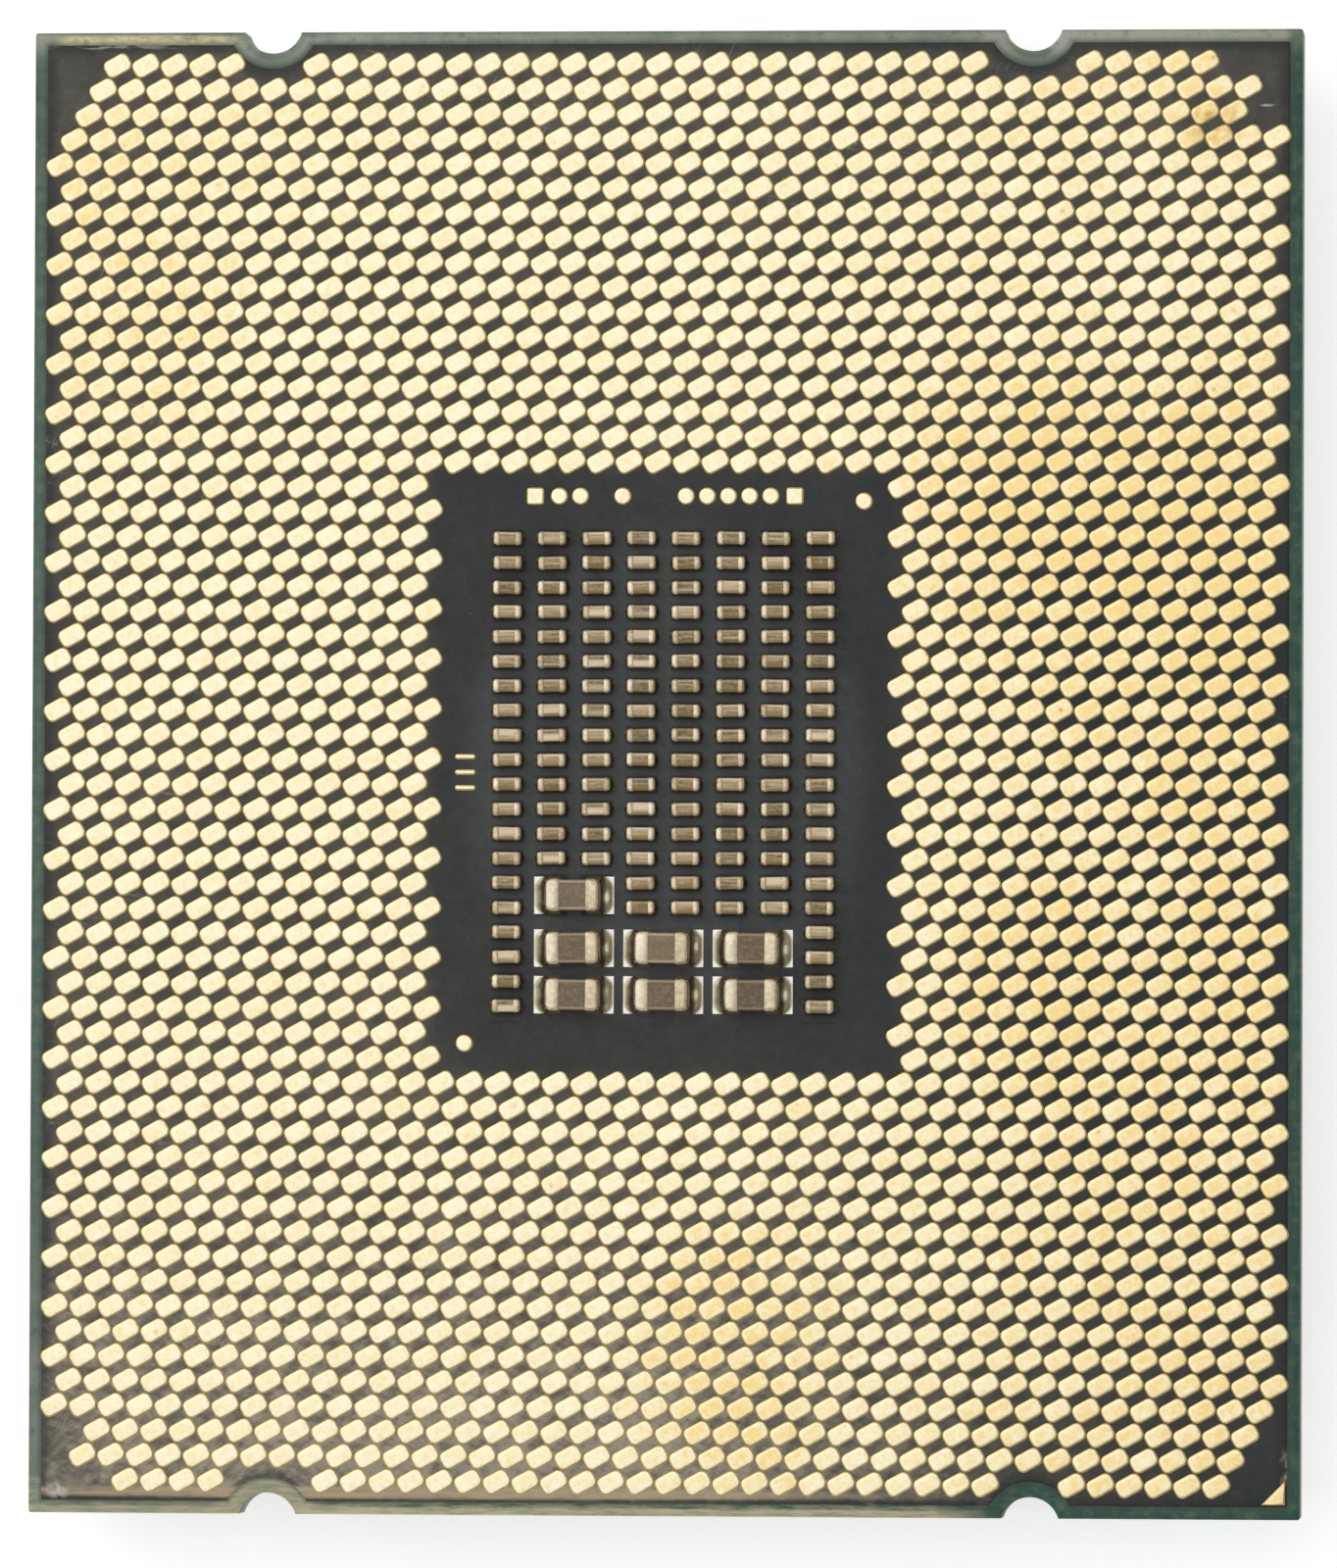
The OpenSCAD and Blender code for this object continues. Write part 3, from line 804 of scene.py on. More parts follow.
@dataclass(frozen=True)
class Ceramic(Finish):
    """Fired capacitor body, with a painted highlight along its long edges, painted shade on its near side
    and a painted highlight stripe that differs by piece.
    """

    dark: Colour = (0.20, 0.158, 0.062)
    light: Colour = (0.78, 0.57, 0.33)
    # pale cream of the painted highlights on the long edges and the stripe, also used for the body's grit
    glaze: Colour = (1.0, 0.82, 0.58)
    # brown of the painted shade on the near long side
    rust: Colour = (0.33, 0.20, 0.05)
    rust_share: float = 0.6
    edge_line: Pair = (0.50, 0.62)
    edge_share: float = 0.9
    near_edge: float = 0.12
    near_shade: float = 0.55
    speckle: float = 0.20
    streak: float = 0.26
    glaze_share: float = 1.0
    grain_depth: float = 0.0022 * MM

    def lay(self, sheet: NodeSheet, shader: bpy.types.Node) -> None:
        """Lays a brown body with fine lines of grain and painted glints, painted highlights on its long
        edges, painted shade on its near side and a painted highlight stripe on some pieces.

        Args:
            sheet: the material's nodes.
            shader: the Principled shader that they feed.
        """
        tone, glaze, across = (sheet.attribute(name) for name in ("tone", "glaze", "across"))
        # fine lines along the body: its grain, partly painted glints
        grain_and_glint_lines = sheet.lines((0.7, 7.0, 1.0), 1.6)
        grain_and_glint_lines = sheet.fade(grain_and_glint_lines, 0.36, 0.64, -self.streak, self.streak)
        depth = sheet.math("ADD", grain_and_glint_lines, sheet.scaled(tone, 0.75, 0.055), clamp=True)
        colour = sheet.mix(depth, self.dark, self.light)
        grit = sheet.fade(sheet.effect(Effect.GRAIN, scale=8.0), 0.42, 0.66, 0.0, self.speckle)
        colour = sheet.mix(grit, colour, self.glaze)
        off = sheet.math("ABSOLUTE", across)
        # painted highlight along the long edges, weaker on the near side
        side = sheet.times(
            sheet.fade(off, *self.edge_line, 0.0, self.edge_share),
            sheet.fade(off, 0.93, 0.8),
            sheet.scaled(tone, 0.8, 0.2),
            sheet.fade(across, -0.3, 0.3, self.near_edge, 1.0),
        )
        colour = sheet.mix(side, colour, self.glaze)
        # painted shade: the near long side darkens
        colour = sheet.mix(sheet.fade(across, -0.30, -0.70, 0.0, self.near_shade), colour, self.dark)
        # painted shade: a brown band on the near side, most on pieces with little highlight stripe
        near_brown_amount = sheet.fade(glaze, 0.1, 0.6, self.rust_share, 0.0)
        colour = sheet.mix(sheet.times(sheet.fade(across, 0.25, -0.6), near_brown_amount), colour, self.rust)
        # painted highlight stripe, wide or thin, on some pieces
        off_stripe = sheet.away(across, sheet.scaled(tone, 0.9, -0.45))
        wide = sheet.times(sheet.fade(off_stripe, 0.75, 0.2), sheet.fade(glaze, 0.76, 0.94))
        thin = sheet.times(sheet.fade(off_stripe, 0.24, 0.06), sheet.fade(glaze, 0.50, 0.80, 0.0, 0.5))
        stripe = sheet.times(sheet.most(wide, thin), self.glaze_share)
        grain = sheet.effect(Effect.GRAIN, scale=16.0)
        sheet.cover(
            shader, sheet.mix(stripe, colour, self.glaze),
            sheet.fade(grain, 0.3, 0.7, 0.30, 0.48), sheet.bump(grain, self.grain_depth),
        )
        shader.inputs["Specular IOR Level"].default_value = 0.25


@dataclass(frozen=True)
class TinTerminal(Finish):
    """Matt tin over fired paste, cream and grainy."""

    name: str = "tin_terminal"
    slot: Slot = Slot.TERMINAL
    shaded: Colour = (0.47, 0.365, 0.195)
    bright: Colour = (1.0, 0.88, 0.66)
    fleck: Colour = (1.0, 0.97, 0.86)
    grain_depth: float = 0.004 * MM

    def lay(self, sheet: NodeSheet, shader: bpy.types.Node) -> None:
        """Lays cream metal, mottled over each terminal and of a different tone on each capacitor; on the
        large capacitors the left cups carry painted light and the right cups painted shade.

        Args:
            sheet: the material's nodes.
            shader: the Principled shader that they feed.
        """
        tone = sheet.attribute("tone")
        mottle = sheet.effect(Effect.GRAIN, scale=6.0)
        depth = sheet.scaled(tone, 0.6, sheet.fade(mottle, 0.28, 0.74, 0.0, 0.5), clamp=True)
        flecks = sheet.effect(Effect.SPECKS, scale=7.0, radius=0.45, share=0.4)
        colour = sheet.mix(depth, self.shaded, self.bright)
        grain = sheet.effect(Effect.GRAIN, scale=26.0)
        sheet.cover(
            shader, sheet.mix(sheet.times(flecks, 0.6), colour, self.fleck),
            sheet.fade(grain, 0.3, 0.7, 0.34, 0.52), sheet.bump(grain, self.grain_depth),
        )
        shader.inputs["Metallic"].default_value = 0.85


@dataclass(frozen=True)
class SolderAlloy(Finish):
    """Bright solder that has flowed and set, with painted reflection and painted shade in its hollows."""

    name: str = "solder_alloy"
    slot: Slot = Slot.SOLDER
    bright: Colour = (1.0, 0.99, 0.96)
    # olive of the painted dim reflection on the joints' slopes
    haze: Colour = (0.74, 0.665, 0.46)
    shade: Colour = (0.085, 0.062, 0.032)
    # cream of the painted highlight on the bead of some joints
    film: Colour = (0.94, 0.85, 0.58)
    grain_depth: float = 0.0015 * MM

    def lay(self, sheet: NodeSheet, shader: bpy.types.Node) -> None:
        """Lays bright metal with a painted olive reflection on its slopes, painted shade against the cup
        and a duller painted cream highlight on some joints.

        Args:
            sheet: the material's nodes.
            shader: the Principled shader that they feed.
        """
        hollow, film = sheet.attribute("hollow"), sheet.attribute("film")
        cloud = sheet.effect(Effect.BLOTCHES, scale=1.6, low=0.25, high=0.75)
        depth = sheet.scaled(sheet.math("SUBTRACT", cloud, 0.5), 0.22, hollow)
        # painted shade value: bright where it is none, olive reflection in the middle, dark against the cup
        colour = sheet.mix(sheet.fade(depth, 0.05, 0.40), self.bright, self.haze)
        colour = sheet.mix(sheet.fade(depth, 0.40, 0.90), colour, self.shade)
        grain = sheet.effect(Effect.GRAIN, scale=12.0)
        sheet.cover(
            # painted highlight: cream and a little less metallic where the film value is high
            shader, sheet.mix(film, colour, self.film),
            sheet.fade(grain, 0.3, 0.7, 0.30, 0.44), sheet.bump(grain, self.grain_depth),
        )
        sheet.feed(shader.inputs["Metallic"], sheet.fade(film, 0.0, 1.0, 0.6, 0.5))


@dataclass(frozen=True)
class NickelPlate(Finish):
    """Satin nickel over a pressed copper lid, with handling marks."""

    name: str = "nickel_plate"
    slot: Slot = Slot.LID_PLATING
    metal: Colour = (0.35, 0.336, 0.312)
    smudge: Colour = (0.285, 0.271, 0.249)
    scratch: Colour = (0.56, 0.542, 0.514)
    grain_depth: float = 0.0035 * MM

    def lay(self, sheet: NodeSheet, shader: bpy.types.Node) -> None:
        """Lays satin metal with brushed lines, smudges, fine hairlines and a pressed grain.

        Args:
            sheet: the material's nodes.
            shader: the Principled shader that they feed.
        """
        smudge = sheet.effect(Effect.BLOTCHES, scale=0.16, low=0.42, high=0.7)
        hairlines = sheet.most(
            sheet.effect(Effect.SCRATCHES, scale=1.6, width=0.010, turn=0.9),
            sheet.effect(Effect.SCRATCHES, scale=1.3, width=0.008, turn=-0.5),
        )
        brushed = sheet.lines((0.05, 3.0, 3.0), 1.0, detail=5.0, rough=0.7)
        colour = sheet.mix(sheet.times(smudge, 0.25), self.metal, self.smudge)
        colour = sheet.mix(sheet.fade(brushed, 0.40, 0.66, 0.0, 0.24), colour, self.scratch)
        colour = sheet.mix(sheet.times(hairlines, 0.5), colour, self.scratch)
        grain = sheet.effect(Effect.GRAIN, scale=9.0)
        rough = sheet.scaled(smudge, 0.08, sheet.fade(grain, 0.3, 0.7, 0.27, 0.39))
        sheet.cover(shader, colour, rough, sheet.bump(grain, self.grain_depth))
        shader.inputs["Metallic"].default_value = 1.0


@dataclass(frozen=True)
class SetFiller(Finish):
    """Plain filled material that was poured or cut: sealant, resin, silicon or soft metal."""

    dark: Colour = (0.010, 0.010, 0.011)
    light: Colour = (0.026, 0.026, 0.027)
    smooth: float = 0.45
    dull: float = 0.65
    metallic: float = 0.0
    cloud_scale: float = 0.8
    grain_depth: float = 0.004 * MM

    def lay(self, sheet: NodeSheet, shader: bpy.types.Node) -> None:
        """Lays a clouded colour with a fine grain.

        Args:
            sheet: the material's nodes.
            shader: the Principled shader that they feed.
        """
        cloud = sheet.effect(Effect.BLOTCHES, scale=self.cloud_scale, low=0.3, high=0.7)
        grain = sheet.effect(Effect.GRAIN, scale=7.0)
        sheet.cover(
            shader, sheet.mix(cloud, self.dark, self.light),
            sheet.fade(grain, 0.3, 0.7, self.smooth, self.dull), sheet.bump(grain, self.grain_depth),
        )
        shader.inputs["Metallic"].default_value = self.metallic


GOLD = GoldPlate()
MASK = MaskFilm()
LAMINATE = BoardLaminate()
SMALL_CERAMIC = Ceramic("small_ceramic_body", Slot.SMALL_CERAMIC)
LARGE_CERAMIC = Ceramic(
    "large_ceramic_body", Slot.LARGE_CERAMIC,
    dark=(0.115, 0.088, 0.052), light=(0.33, 0.245, 0.145),
    edge_line=(0.73, 0.80), edge_share=0.55, near_edge=1.0, near_shade=0.0, speckle=0.10, streak=0.10,
    rust_share=0.0, glaze_share=0.0,
)
TIN = TinTerminal()
SOLDER = SolderAlloy()
NICKEL = NickelPlate()
SEALANT = SetFiller("lid_sealant_rubber", Slot.SEALANT)
SILICON = SetFiller(
    "die_silicon", Slot.SILICON, (0.06, 0.065, 0.08), (0.09, 0.095, 0.11),
    smooth=0.18, dull=0.3, metallic=0.4, cloud_scale=0.2,
)
RESIN = SetFiller(
    "underfill_resin", Slot.RESIN, (0.045, 0.032, 0.018), (0.09, 0.065, 0.04), smooth=0.25, dull=0.4,
)
SOFT_METAL = SetFiller(
    "interface_soft_metal", Slot.INTERFACE_METAL, (0.55, 0.55, 0.54), (0.72, 0.72, 0.70),
    smooth=0.35, dull=0.5, metallic=1.0,
)


@dataclass(frozen=True)
class Solid:
    """Box of one separate solid in a CAD node."""

    low: Vector
    high: Vector

    @property
    def centre(self) -> Vector:
        """Middle of the box."""
        return (self.low + self.high) / 2

    @property
    def size(self) -> Vector:
        """Edge lengths of the box."""
        return self.high - self.low


def unit(value: float) -> float:
    """Keeps a value between nought and one."""
    return min(max(value, 0.0), 1.0)


def solids_of(node: str) -> list[Solid]:
    """Splits a CAD node into its separate solids.

    Args:
        node: the node's name.

    Returns:
        The solids' boxes, row by row from the far side and from left to right in a row.
    """
    mesh = bmesh.new()
    mesh.from_mesh(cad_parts[node].data)
    bmesh.ops.remove_doubles(mesh, verts=mesh.verts, dist=WELD)
    seen: set[Any] = set()
    found: list[Solid] = []
    for start in mesh.verts:
        if start in seen:
            continue
        seen.add(start)
        todo, points = [start], []
        while todo:
            point = todo.pop()
            points.append(point.co)
            for edge in point.link_edges:
                other = edge.other_vert(point)
                if other not in seen:
                    seen.add(other)
                    todo.append(other)
        low = Vector(min(p[k] for p in points) for k in range(3))
        high = Vector(max(p[k] for p in points) for k in range(3))
        found.append(Solid(low, high))
    mesh.free()
    return sorted(found, key=lambda s: (-round(s.centre.y / MM, 3), s.centre.x))


class Shell:
    """Mesh under construction, with named values at each of its points."""

    def __init__(self, *values: str) -> None:
        """Starts an empty mesh.

        Args:
            values: names of the values that it holds.
        """
        self.points: list[Vector] = []
        self.faces: list[Sequence[int]] = []
        self.values: dict[str, list[float]] = {name: [] for name in values}

    def row(self, points: Iterable[Vector], **values: float) -> list[int]:
        """Adds a row of points.

        Args:
            points: the places of the points.
            values: the row's named values; those left out are nought.

        Returns:
            The numbers of the new points.
        """
        first = len(self.points)
        self.points.extend(points)
        count = len(self.points) - first
        for name, held in self.values.items():
            held.extend([values.get(name, 0.0)] * count)
        return list(range(first, first + count))

    def level(self, outline: Iterable[Point], z: float, **values: float) -> list[int]:
        """Adds a row of points along an outline, all at one height."""
        return self.row((Vector((x, y, z)) for x, y in outline), **values)

    def bridge(self, low: Sequence[int], high: Sequence[int]) -> None:
        """Joins two closed rows of equal length with four-sided faces.

        Args:
            low: numbers of the lower row's points.
            high: numbers of the upper row's points.
        """
        count = len(low)
        for k in range(count):
            after = (k + 1) % count
            self.faces.append((low[k], low[after], high[after], high[k]))

    def cap(self, row: Sequence[int], turned: bool = False) -> None:
        """Closes a row with one face, turned over where the row is seen from below."""
        self.faces.append(tuple(reversed(row)) if turned else tuple(row))

    def fan(self, row: Sequence[int], tip: int) -> None:
        """Closes a row with three-sided faces that meet at a tip."""
        for k, point in enumerate(row):
            self.faces.append((point, row[(k + 1) % len(row)], tip))

    def stack(self, rows: Sequence[Sequence[int]]) -> None:
        """Joins closed rows one after the other and closes both ends.

        Args:
            rows: the rows' point numbers, from the first to the last.
        """
        self.cap(rows[0], turned=True)
        for low, high in zip(rows, rows[1:]):
            self.bridge(low, high)
        self.cap(rows[-1])

    def piece(self, name: str, sharp: float = 40.0) -> bpy.types.Object:
        """Makes the mesh into an object.

        Args:
            name: the object's name.
            sharp: the angle from which an edge stays sharp, in degrees.

        Returns:
            The new object.
        """
        mesh = bpy.data.meshes.new(name)
        mesh.from_pydata(self.points, [], self.faces)
        for label, held in self.values.items():
            mesh.attributes.new(label, "FLOAT", "POINT").data.foreach_set("value", held)
        mesh.shade_smooth()
        mesh.set_sharp_from_angle(angle=math.radians(sharp))
        mesh.validate()
        made = bpy.data.objects.new(name, mesh)
        bpy.context.scene.collection.objects.link(made)
        return made


def settle(piece: bpy.types.Object, finish: Finish, *nodes: str) -> None:
    """Dresses a piece, rides it on the package and hides the solids that it stands for.

    Args:
        piece: the piece.
        finish: its finish.
        nodes: the CAD nodes that it replaces.
    """
    piece.data.materials.append(finish.material())
    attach(piece, BODY)
    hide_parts(*nodes)
    LOG.info("%s: %d faces, finish %s", piece.name, len(piece.data.polygons), finish.name)


def dress_node(node: str, finish: Finish) -> None:
    """Gives a CAD node that stays in view its finish.

    Args:
        node: the node's name.
        finish: its finish.
    """
    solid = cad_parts[node]
    if not solid.material_slots:
        solid.data.materials.append(None)
    for held in solid.material_slots:
        held.material = finish.material()
    LOG.info("%s: CAD solid, finish %s", node, finish.name)


def rounded_outline(length: float, width: float, radius: float, steps: int) -> list[Point]:
    """Corner points of a rectangle with round corners, anticlockwise.

    Args:
        length: its size along the first axis.
        width: its size along the second axis.
        radius: the corners' radius.
        steps: straight steps in each corner.

    Returns:
        The points.
    """
    points: list[Point] = []
    for quarter, (side, end) in enumerate(((1, 1), (-1, 1), (-1, -1), (1, -1))):
        for k in range(steps + 1):
            turn = (quarter + k / steps) * math.pi / 2
            points.append((
                side * (length / 2 - radius) + radius * math.cos(turn),
                end * (width / 2 - radius) + radius * math.sin(turn),
            ))
    return points


@dataclass
class Board:
    """The laminated board and the mask film on its land side."""

    notch_radius: float = 1.05 * MM
    notch_depth: float = 0.75 * MM
    notch_left: float = 14.0 * MM
    notch_right: float = 13.0 * MM
    corner: float = 0.1 * MM
    edge_round: float = 0.04 * MM
    mask_notch_margin: float = 0.55 * MM
    mask_slope: float = 0.10 * MM
    mask_rim: float = 0.60 * MM
    mask_cover: float = 0.06 * MM
    mask_lip: float = 0.008 * MM
    notch_steps: int = 20
    corner_steps: int = 4

    def outline(self, margin: float, notch_margin: float) -> list[Point]:
        """Corner points of the board's outline, anticlockwise from the near left corner.

        Args:
            margin: how far the outline is drawn in from the board's edges.
            notch_margin: how far it is drawn back from the notches.

        Returns:
            The points.
        """
        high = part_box("substrate")[1]
        half_w, half_l = high.x - margin, high.y - margin
        outside = high.y + self.notch_radius - self.notch_depth
        radius = self.notch_radius + notch_margin
        start = math.asin((outside - half_l) / radius)
        near: list[Point] = []
        for k in range(self.corner_steps + 1):
            turn = math.pi * (1 + k / self.corner_steps / 2)
            near.append((
                self.corner - half_w + self.corner * math.cos(turn),
                self.corner - half_l + self.corner * math.sin(turn),
            ))
        arc = [start + (math.pi - 2 * start) * k / self.notch_steps for k in range(self.notch_steps + 1)]
        notches = [
            [(x + radius * math.cos(turn), radius * math.sin(turn) - outside) for turn in arc]
            for x in (-self.notch_left, self.notch_right)
        ]
        for notch in notches:
            near.extend(reversed(notch))
        near.extend((-x, y) for x, y in reversed(near[: self.corner_steps + 1]))
        far = [(x, -y) for x, y in reversed(near)]
        return near + far

    def build(self) -> list[bpy.types.Object]:
        """Builds the board and the mask.

        Returns:
            The board and the mask film.
        """
        low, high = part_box("substrate")
        mask_low, mask_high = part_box("land_side_mask")
        margin = high.x - mask_high.x
        shell = Shell("inner")
        levels = (
            (self.edge_round, self.edge_round, low.z, 0.0),
            (0.0, 0.0, low.z + self.edge_round, 0.0),
            (0.0, 0.0, high.z - self.edge_round, 0.0),
            (self.edge_round, self.edge_round, high.z, 0.0),
            (margin + self.mask_cover, self.mask_notch_margin + self.mask_cover, high.z, 1.0),
        )
        shell.stack([
            shell.level(self.outline(inset, notch_inset), z, inner=inner)
            for inset, notch_inset, z, inner in levels
        ])
        board = shell.piece("board_with_notches", sharp=50.0)
        film = Shell("rim")
        film_levels = (
            (0.0, mask_low.z, 1.0),
            (self.mask_slope / 4, mask_high.z - self.mask_lip, 1.0),
            (self.mask_slope, mask_high.z, 1.0),
            (self.mask_rim, mask_high.z, 0.0),
        )
        film.stack([
            film.level(self.outline(margin + inset, self.mask_notch_margin + inset), z, rim=rim)
            for inset, z, rim in film_levels
        ])
        return [board, film.piece("mask_film_sheet")]

    def dress(self, board: bpy.types.Object, film: bpy.types.Object) -> None:
        """Gives the board and the mask their finishes."""
        settle(board, LAMINATE, "substrate")
        settle(film, MASK, "land_side_mask")


@dataclass
class GoldPads:
    """All the gold: the four fields of lands, the test pads and the marks."""

    land_length: float = 0.900 * MM
    land_width: float = 0.585 * MM
    land_corner: float = 0.194 * MM
    land_turn: float = 29.2
    skirt: float = 0.039 * MM
    shoulder: float = 0.016 * MM
    shoulder_rise: float = 0.72
    # share of painted shade at the shoulder
    shoulder_shade: float = 0.85
    rim: float = 0.020 * MM
    heart_inset: float = 0.11 * MM
    heart_wear: float = 0.8
    corner_steps: int = 4
    mark_corner: float = 0.03 * MM
    mark_corner_steps: int = 2
    mark_heart: float = 0.18
    mark_tone: float = 0.2
    round_steps: int = 32
    seed: int = 41

    FIELDS = ("lands_upper", "lands_left", "lands_right", "lands_lower")
    ROUND = ("round_test_pads", "reference_dots")
    SQUARE = ("square_test_pads", "side_bars")

    def plate(self, shell: Shell, solid: Solid, outline: Outline, heart: float, tone: float) -> None:
        """Adds one plated pad: a sloped skirt and a soft shoulder with painted shade, and a flat top.

        Args:
            shell: the mesh that takes the pad.
            solid: the CAD solid that it stands for.
            outline: gives the pad's outline about its middle, grown by a length.
            heart: distance of the inner row of points from the rim.
            tone: the pad's own tone.
        """
        x, y = solid.centre.x, solid.centre.y
        base, top = solid.low.z, solid.high.z
        # each row: grown outline, height, heart wear and painted shade
        levels = (
            (self.skirt, base, 0.0, 1.0),
            (self.shoulder, base + self.shoulder_rise * (top - base), 0.0, self.shoulder_shade),
            (-self.rim, top, 0.0, 0.0),
            (-heart, top, self.heart_wear, 0.0),
        )
        rows = [
            shell.level(
                ((x + dx, y + dy) for dx, dy in outline(grown)), z, tone=tone, heart=worn, skirt=dark,
            )
            for grown, z, worn, dark in levels
        ]
        shell.cap(rows[0], turned=True)
        for low, high in zip(rows, rows[1:]):
            shell.bridge(low, high)
        middle = sum((shell.points[k] for k in rows[-1]), Vector()) / len(rows[-1])
        tip = shell.row([middle], tone=tone, heart=1.0)
        shell.fan(rows[-1], tip[0])

    def land_outline(self, grown: float) -> list[Point]:
        """Outline of a land about its middle, turned on its seat and grown by a length.

        Args:
            grown: how far the outline is grown.

        Returns:
            Its points.
        """
        turn = Matrix.Rotation(math.radians(self.land_turn), 2)
        flat = rounded_outline(
            self.land_length + 2 * grown, self.land_width + 2 * grown,
            self.land_corner + grown, self.corner_steps,
        )
        return [tuple(turn @ Vector(point)) for point in flat]

    def round_outline(self, width: float, grown: float) -> list[Point]:
        """Outline of a round pad about its middle, grown by a length.

        Args:
            width: the pad's width.
            grown: how far the outline is grown.

        Returns:
            Its points.
        """
        reach = width / 2 - self.shoulder + grown
        turns = [2 * math.pi * k / self.round_steps for k in range(self.round_steps)]
        return [(reach * math.cos(turn), reach * math.sin(turn)) for turn in turns]

    def square_outline(self, size: Vector, grown: float) -> list[Point]:
        """Outline of a square pad or bar about its middle, grown by a length.

        Args:
            size: the pad's size.
            grown: how far the outline is grown.

        Returns:
            Its points.
        """
        edge = 2 * (grown - self.shoulder)
        corner = max(self.mark_corner + self.rim + grown, self.mark_corner / 2)
        return rounded_outline(size.x + edge, size.y + edge, corner, self.mark_corner_steps)

    def triangle_outline(self, size: Vector, grown: float) -> list[Point]:
        """Outline of the corner triangle about the middle of its box, grown by a length.

        Args:
            size: the triangle's box.
            grown: how far the outline is grown.

        Returns:
            Its three corners, with the square corner at the near right.
        """
        leg = size.x
        inner = leg * (1 - math.sqrt(0.5))
        scale = (inner + grown - self.shoulder) / inner
        mid_x, mid_y = leg / 2 - inner, inner - leg / 2
        corners = ((leg / 2, -leg / 2), (leg / 2, leg / 2), (-leg / 2, -leg / 2))
        return [(mid_x + scale * (x - mid_x), mid_y + scale * (y - mid_y)) for x, y in corners]

    def build(self) -> dict[str, bpy.types.Object]:
        """Builds every gold piece.

        Returns:
            The pieces by the CAD node that each replaces.
        """
        draw = random.Random(self.seed)
        made: dict[str, bpy.types.Object] = {}
        for node in self.FIELDS:
            shell = Shell("tone", "heart", "skirt")
            for solid in solids_of(node):
                self.plate(shell, solid, self.land_outline, self.heart_inset, draw.random())
            made[node] = shell.piece(node + "_plated")
        for node in self.ROUND + self.SQUARE + ("corner_triangle",):
            shell = Shell("tone", "heart", "skirt")
            for solid in solids_of(node):
                size = solid.size
                if node in self.ROUND:
                    outline: Outline = lambda grown, s=size: self.round_outline(s.x, grown)
                elif node in self.SQUARE:
                    outline = lambda grown, s=size: self.square_outline(s, grown)
                else:
                    outline = lambda grown, s=size: self.triangle_outline(s, grown)
                heart = min(size.x, size.y) * self.mark_heart
                self.plate(shell, solid, outline, heart, self.mark_tone * draw.random())
            made[node] = shell.piece(node + "_plated")
        return made

    def dress(self, made: dict[str, bpy.types.Object]) -> None:
        """Gives every gold piece its plating."""
        for node, piece in made.items():
            settle(piece, GOLD, node)


def bar_section(
    x: float, width: float, height: float, radius: float, steps: int, middle: float,
) -> list[Vector]:
    """Upright section across a bar along X, with round corners.

    Args:
        x: where the section stands.
        width: its width, along Y.
        height: its height.
        radius: the corners' radius.
        steps: straight steps in each corner.
        middle: height of its middle above the seat.

    Returns:
        Its points, anticlockwise as seen from the right-hand end.
    """
    return [Vector((x, y, middle + z)) for y, z in rounded_outline(width, height, radius, steps)]


@dataclass
class ChipCapacitor:
    """Shape of one chip capacitor: a ceramic bar with a metal cup over each end."""

    length: float
    width: float
    height: float
    end: float
    wall: float
    edge: float
    end_edge: float
    plan_corner: float
    steps: int

    # Rows of the lip's round edge: shares of the wall along the cup and into it.
    LIP_EDGE = ((0.1, 0.45), (0.9, 0.0))

    @property
    def core(self) -> tuple[float, float, float]:
        """Width, height and corner radius of the ceramic bar's section."""
        walls = 2 * self.wall
        return self.width - walls, self.height - walls, max(self.edge - self.wall, self.wall)

    def body_rows(self) -> list[list[Vector]]:
        """Sections of the ceramic bar, from left to right."""
        half = self.length / 2 - self.wall
        return [bar_section(x, *self.core, self.steps, self.height / 2) for x in (-half, half)]

    def cup_rows(self) -> list[list[Vector]]:
        """Sections of the right-hand cup: up its inside, over its lip and out to its end.

        Returns:
            The points of each section.
        """
        half, middle = self.length / 2, self.height / 2
        lip = half - self.end
        rows = [bar_section(x, *self.core, self.steps, middle) for x in (half - self.wall, lip)]
        for along, inward in self.LIP_EDGE:
            x, cut = lip + along * self.wall, 2 * inward * self.wall
            rows.append(bar_section(
                x, self.width - cut, self.height - cut, self.edge, self.steps, middle,
            ))
        for k in range(self.steps + 1):
            turn = k / self.steps * math.pi / 2
            x = half - self.plan_corner * (1 - math.sin(turn))
            side = self.plan_corner * (1 - math.cos(turn))
            into = max(x - half + self.end_edge, 0.0)
            drop = self.end_edge - math.sqrt(max(self.end_edge ** 2 - into ** 2, 0.0))
            rows.append(bar_section(
                x, self.width - 2 * side, self.height - 2 * drop, self.edge, self.steps, middle,
            ))
        return rows

    def add_body(self, shell: Shell, seat: Matrix, tone: float, glaze: float) -> None:
        """Adds the ceramic bar to a mesh.

        Args:
            shell: the mesh.
            seat: the capacitor's place.
            tone: its tone.
            glaze: how much painted highlight stripe it shows.
        """
        rows = []
        for section in self.body_rows():
            shares = [2 * point.y / self.width for point in section]
            rows.append([
                shell.row([seat @ point], tone=tone, glaze=glaze, across=share)[0]
                for point, share in zip(section, shares)
            ])
        shell.stack(rows)

    def add_cups(self, shell: Shell, seat: Matrix, tones: Pair) -> None:
        """Adds both metal cups to a mesh.

        Args:
            shell: the mesh.
            seat: the capacitor's place.
            tones: the tones of its right-hand and left-hand cups.
        """
        for turn, tone in zip((0.0, math.pi), tones):
            place = seat @ Matrix.Rotation(turn, 4, "Z")
            shell.stack([shell.row((place @ p for p in section), tone=tone) for section in self.cup_rows()])


